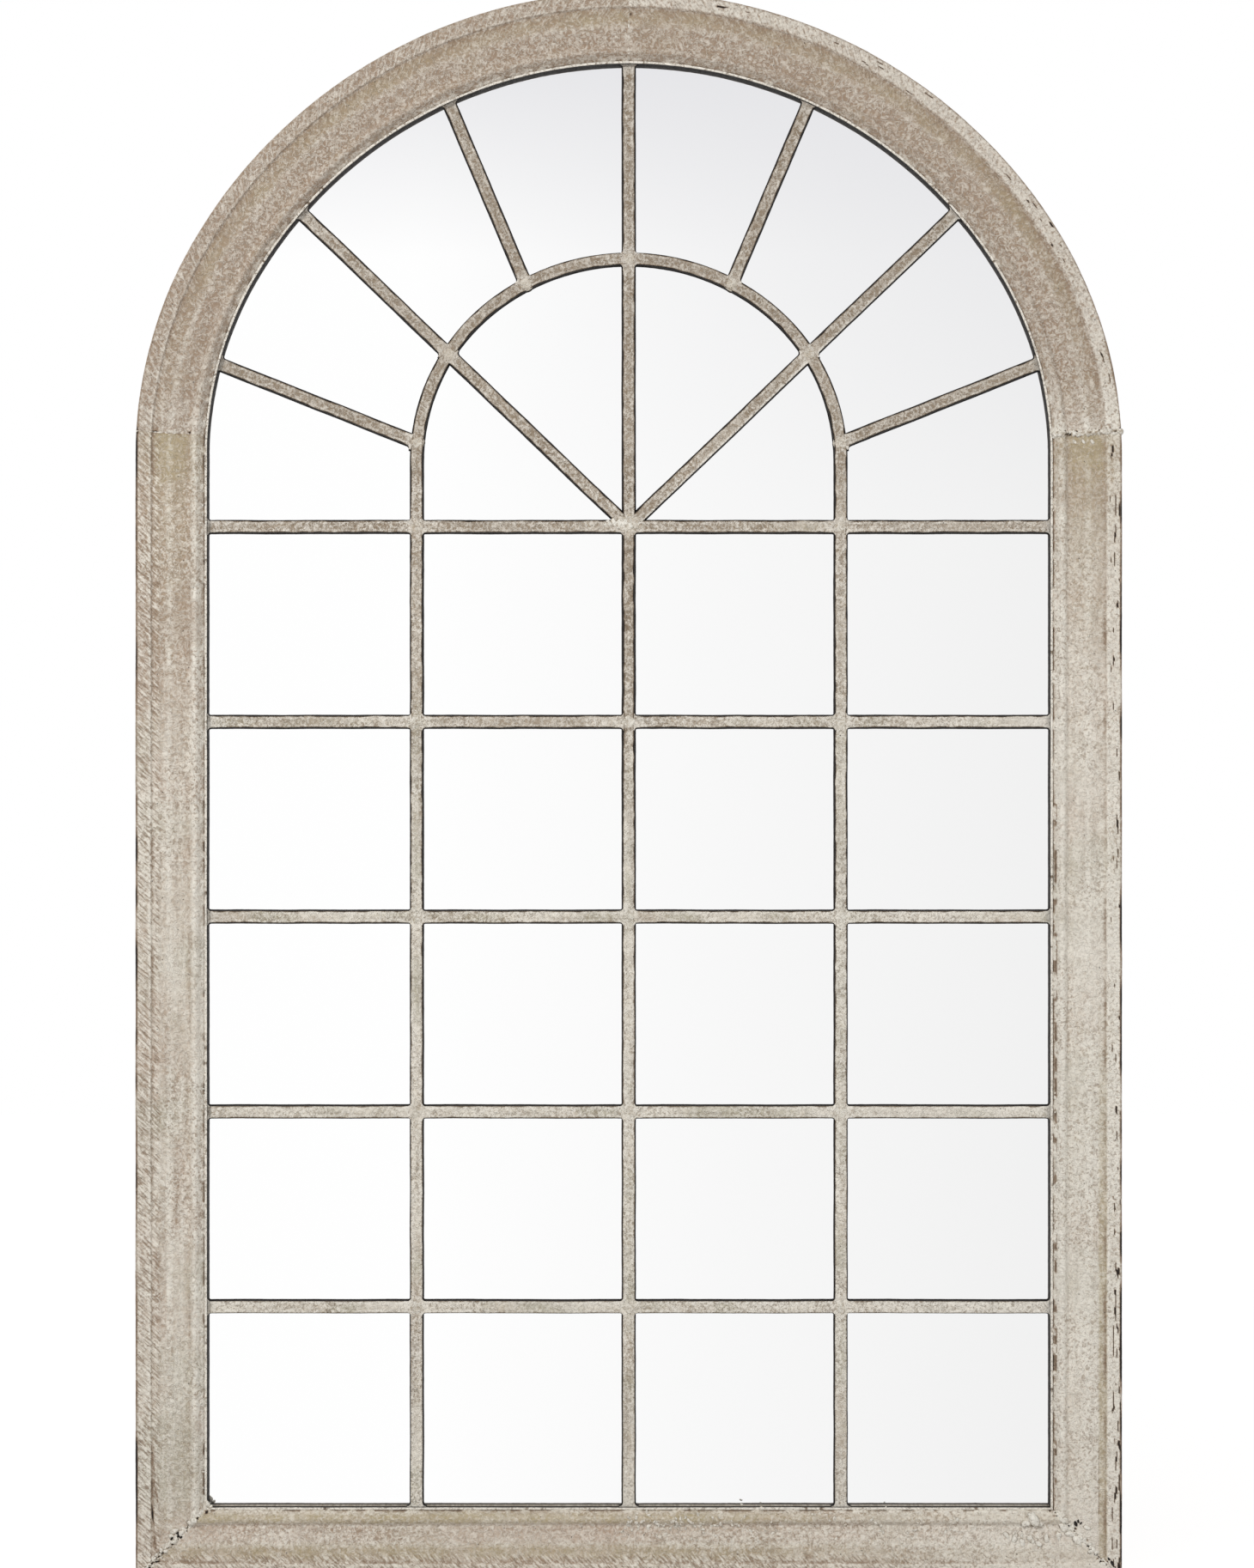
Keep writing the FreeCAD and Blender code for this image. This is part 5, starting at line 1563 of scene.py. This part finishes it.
# %% Camera
REACH = 5.0                    # metres from the camera to the frame's front
PIXELS_WIDE = 1460
MM_PER_PIXEL = 0.99478         # from the frame's known width and its width in the photograph
VIEW_WIDTH = PIXELS_WIDE * MM_PER_PIXEL * MM
FRONT_Y = -25.4 * MM
SENSOR = 36.0
CAMERA_X, CAMERA_Z = -0.0020, 0.9217     # metres: opposite the middle of the photograph
camera_data = bpy.data.cameras.new("camera")
camera_data.sensor_fit = "HORIZONTAL"
camera_data.sensor_width = SENSOR
camera_data.lens = SENSOR * REACH / VIEW_WIDTH
camera = bpy.data.objects.new("camera", camera_data)
camera.location = (CAMERA_X, FRONT_Y - REACH, CAMERA_Z)
camera.rotation_euler = (math.pi / 2, 0, 0)
bpy.context.scene.collection.objects.link(camera)
bpy.context.scene.camera = camera
print("lens, mm:", round(camera_data.lens, 1))


# %% [markdown]
# The floor and the world show white to the camera, to mirrors and through glass, while the object
# is lit by a grey world and two soft lamps, the stronger one high on the left. The floor still
# takes a soft shadow, because only part of its white is its own glow.

# %% Floor
def stage_plane(name, size, matrix, material):
    """A flat rectangle of the studio, in metres."""
    bm = bmesh.new()
    bmesh.ops.create_grid(bm, x_segments=1, y_segments=1, size=0.5)
    bmesh.ops.transform(bm, matrix=matrix @ Matrix.Diagonal((*size, 1, 1)), verts=bm.verts[:])
    mesh = bpy.data.meshes.new(name)
    bm.to_mesh(mesh)
    bm.free()
    plane = bpy.data.objects.new(name, mesh)
    mesh.materials.append(material)
    bpy.context.scene.collection.objects.link(plane)
    print(name, "is", size, "m")
    return plane


def white_to_eyes(tree):
    """1 for rays from the camera, from mirrors and through glass, else 0."""
    path = add_node(tree, "ShaderNodeLightPath")
    seen = add_node(tree, "ShaderNodeMath", {0: path.outputs["Is Camera Ray"],
                                             1: path.outputs["Is Glossy Ray"]},
                    operation="MAXIMUM")
    return add_node(tree, "ShaderNodeMath", {0: seen.outputs[0],
                                             1: path.outputs["Is Transmission Ray"]},
                    operation="MAXIMUM").outputs[0]


FLOOR_GREY, FLOOR_GLOW = 0.62, 0.72
floor_paint, tree = new_material("pale_studio_floor")
dull = add_node(tree, "ShaderNodeBsdfDiffuse", {"Color": grey(FLOOR_GREY)})
glow = add_node(tree, "ShaderNodeEmission", {"Color": grey(1.0), "Strength": FLOOR_GLOW})
summed = add_node(tree, "ShaderNodeAddShader", {0: dull.outputs[0], 1: glow.outputs[0]})
end_material(tree, add_node(tree, "ShaderNodeMixShader",
                            {0: white_to_eyes(tree), 1: dull.outputs[0], 2: summed.outputs[0]}))
floor = stage_plane("studio_floor", (14, 14), Matrix.Identity(4), floor_paint)
floor.visible_glossy = False      # the card stands for all that the mirror would see

# %% [markdown]
# The mirror sees a pale card behind the camera. Its brightness falls off to the right and toward
# the upper right corner, which is what the photograph's panes show. No other ray sees it.

# %% Card that the mirror reflects
card_paint, tree = new_material("reflected_studio_card")
place = add_node(tree, "ShaderNodeTexCoord").outputs["Object"]
split = add_node(tree, "ShaderNodeSeparateXYZ", {0: place})
right = add_node(tree, "ShaderNodeMapRange", {"Value": split.outputs[0], "From Min": -0.5,
                                              "From Max": 1.05})
up = add_node(tree, "ShaderNodeMapRange", {"Value": split.outputs[2], "From Min": 1.5,
                                           "From Max": 2.7})
corner = add_node(tree, "ShaderNodeMath", {0: right.outputs[0], 1: up.outputs[0]},
                  operation="MULTIPLY")
top = add_node(tree, "ShaderNodeMapRange", {"Value": split.outputs[2], "From Min": 2.2,
                                            "From Max": 2.75})
tone = hex_colour("ffffff")
for shade, where in (("f1f1f1", right), ("e4e4e7", corner), ("e4e4e7", top)):
    tone = add_node(tree, "ShaderNodeMix", {"Factor": where.outputs[0], 6: tone,
                                            7: hex_colour(shade)}, data_type="RGBA").outputs[2]
end_material(tree, add_node(tree, "ShaderNodeEmission", {"Color": tone, "Strength": 1.04}))
CARD_Y = FRONT_Y - REACH - 0.4     # just behind the camera
card = stage_plane("studio_card", (3.4, 6.4),
                   Matrix.Translation((0, CARD_Y, 0.9)) @ Matrix.Rotation(math.pi / 2, 4, "X"),
                   card_paint)
card.visible_camera = card.visible_diffuse = False
card.visible_transmission = card.visible_shadow = False

# %% World
AMBIENT = 0.45         # strength of the grey world that lights the object
world = bpy.data.worlds.new("studio")
bpy.context.scene.world = world
world.use_nodes = True
tree = world.node_tree
tree.nodes.clear()
ambient = add_node(tree, "ShaderNodeBackground", {"Color": grey(1.0), "Strength": AMBIENT})
white = add_node(tree, "ShaderNodeBackground", {"Color": grey(1.0), "Strength": 1.0})
mixed = add_node(tree, "ShaderNodeMixShader", {0: white_to_eyes(tree), 1: ambient.outputs[0],
                                               2: white.outputs[0]})
tree.links.new(mixed.outputs[0], add_node(tree, "ShaderNodeOutputWorld").inputs[0])
print("world:", world.name)


# %% Lamps
def soft_lamp(name, place, aim, size, power):
    """A rectangular lamp that mirrors don't show; metres and watts."""
    data = bpy.data.lights.new(name, "AREA")
    data.shape = "RECTANGLE"
    data.size, data.size_y = size
    data.energy = power
    lamp = bpy.data.objects.new(name, data)
    lamp.location = place
    lamp.rotation_euler = (Vector(aim) - Vector(place)).to_track_quat("-Z", "Y").to_euler()
    bpy.context.scene.collection.objects.link(lamp)
    lamp.visible_glossy = False
    print(name, "at", place, "m,", power, "W")


soft_lamp("key_upper_left", (-2.7, -3.7, 3.5), (0, 0, 0.9), (0.8, 0.8), 130)
soft_lamp("fill_right", (3.0, -3.4, 1.0), (0, 0, 0.7), (1.6, 2.0), 40)
bpy.context.scene.view_settings.view_transform = "Standard"

# %% Count the triangles of the new pieces
print("triangles in new pieces:",
      sum(len(p.vertices) - 2 for piece in PIECES for p in piece.data.polygons))
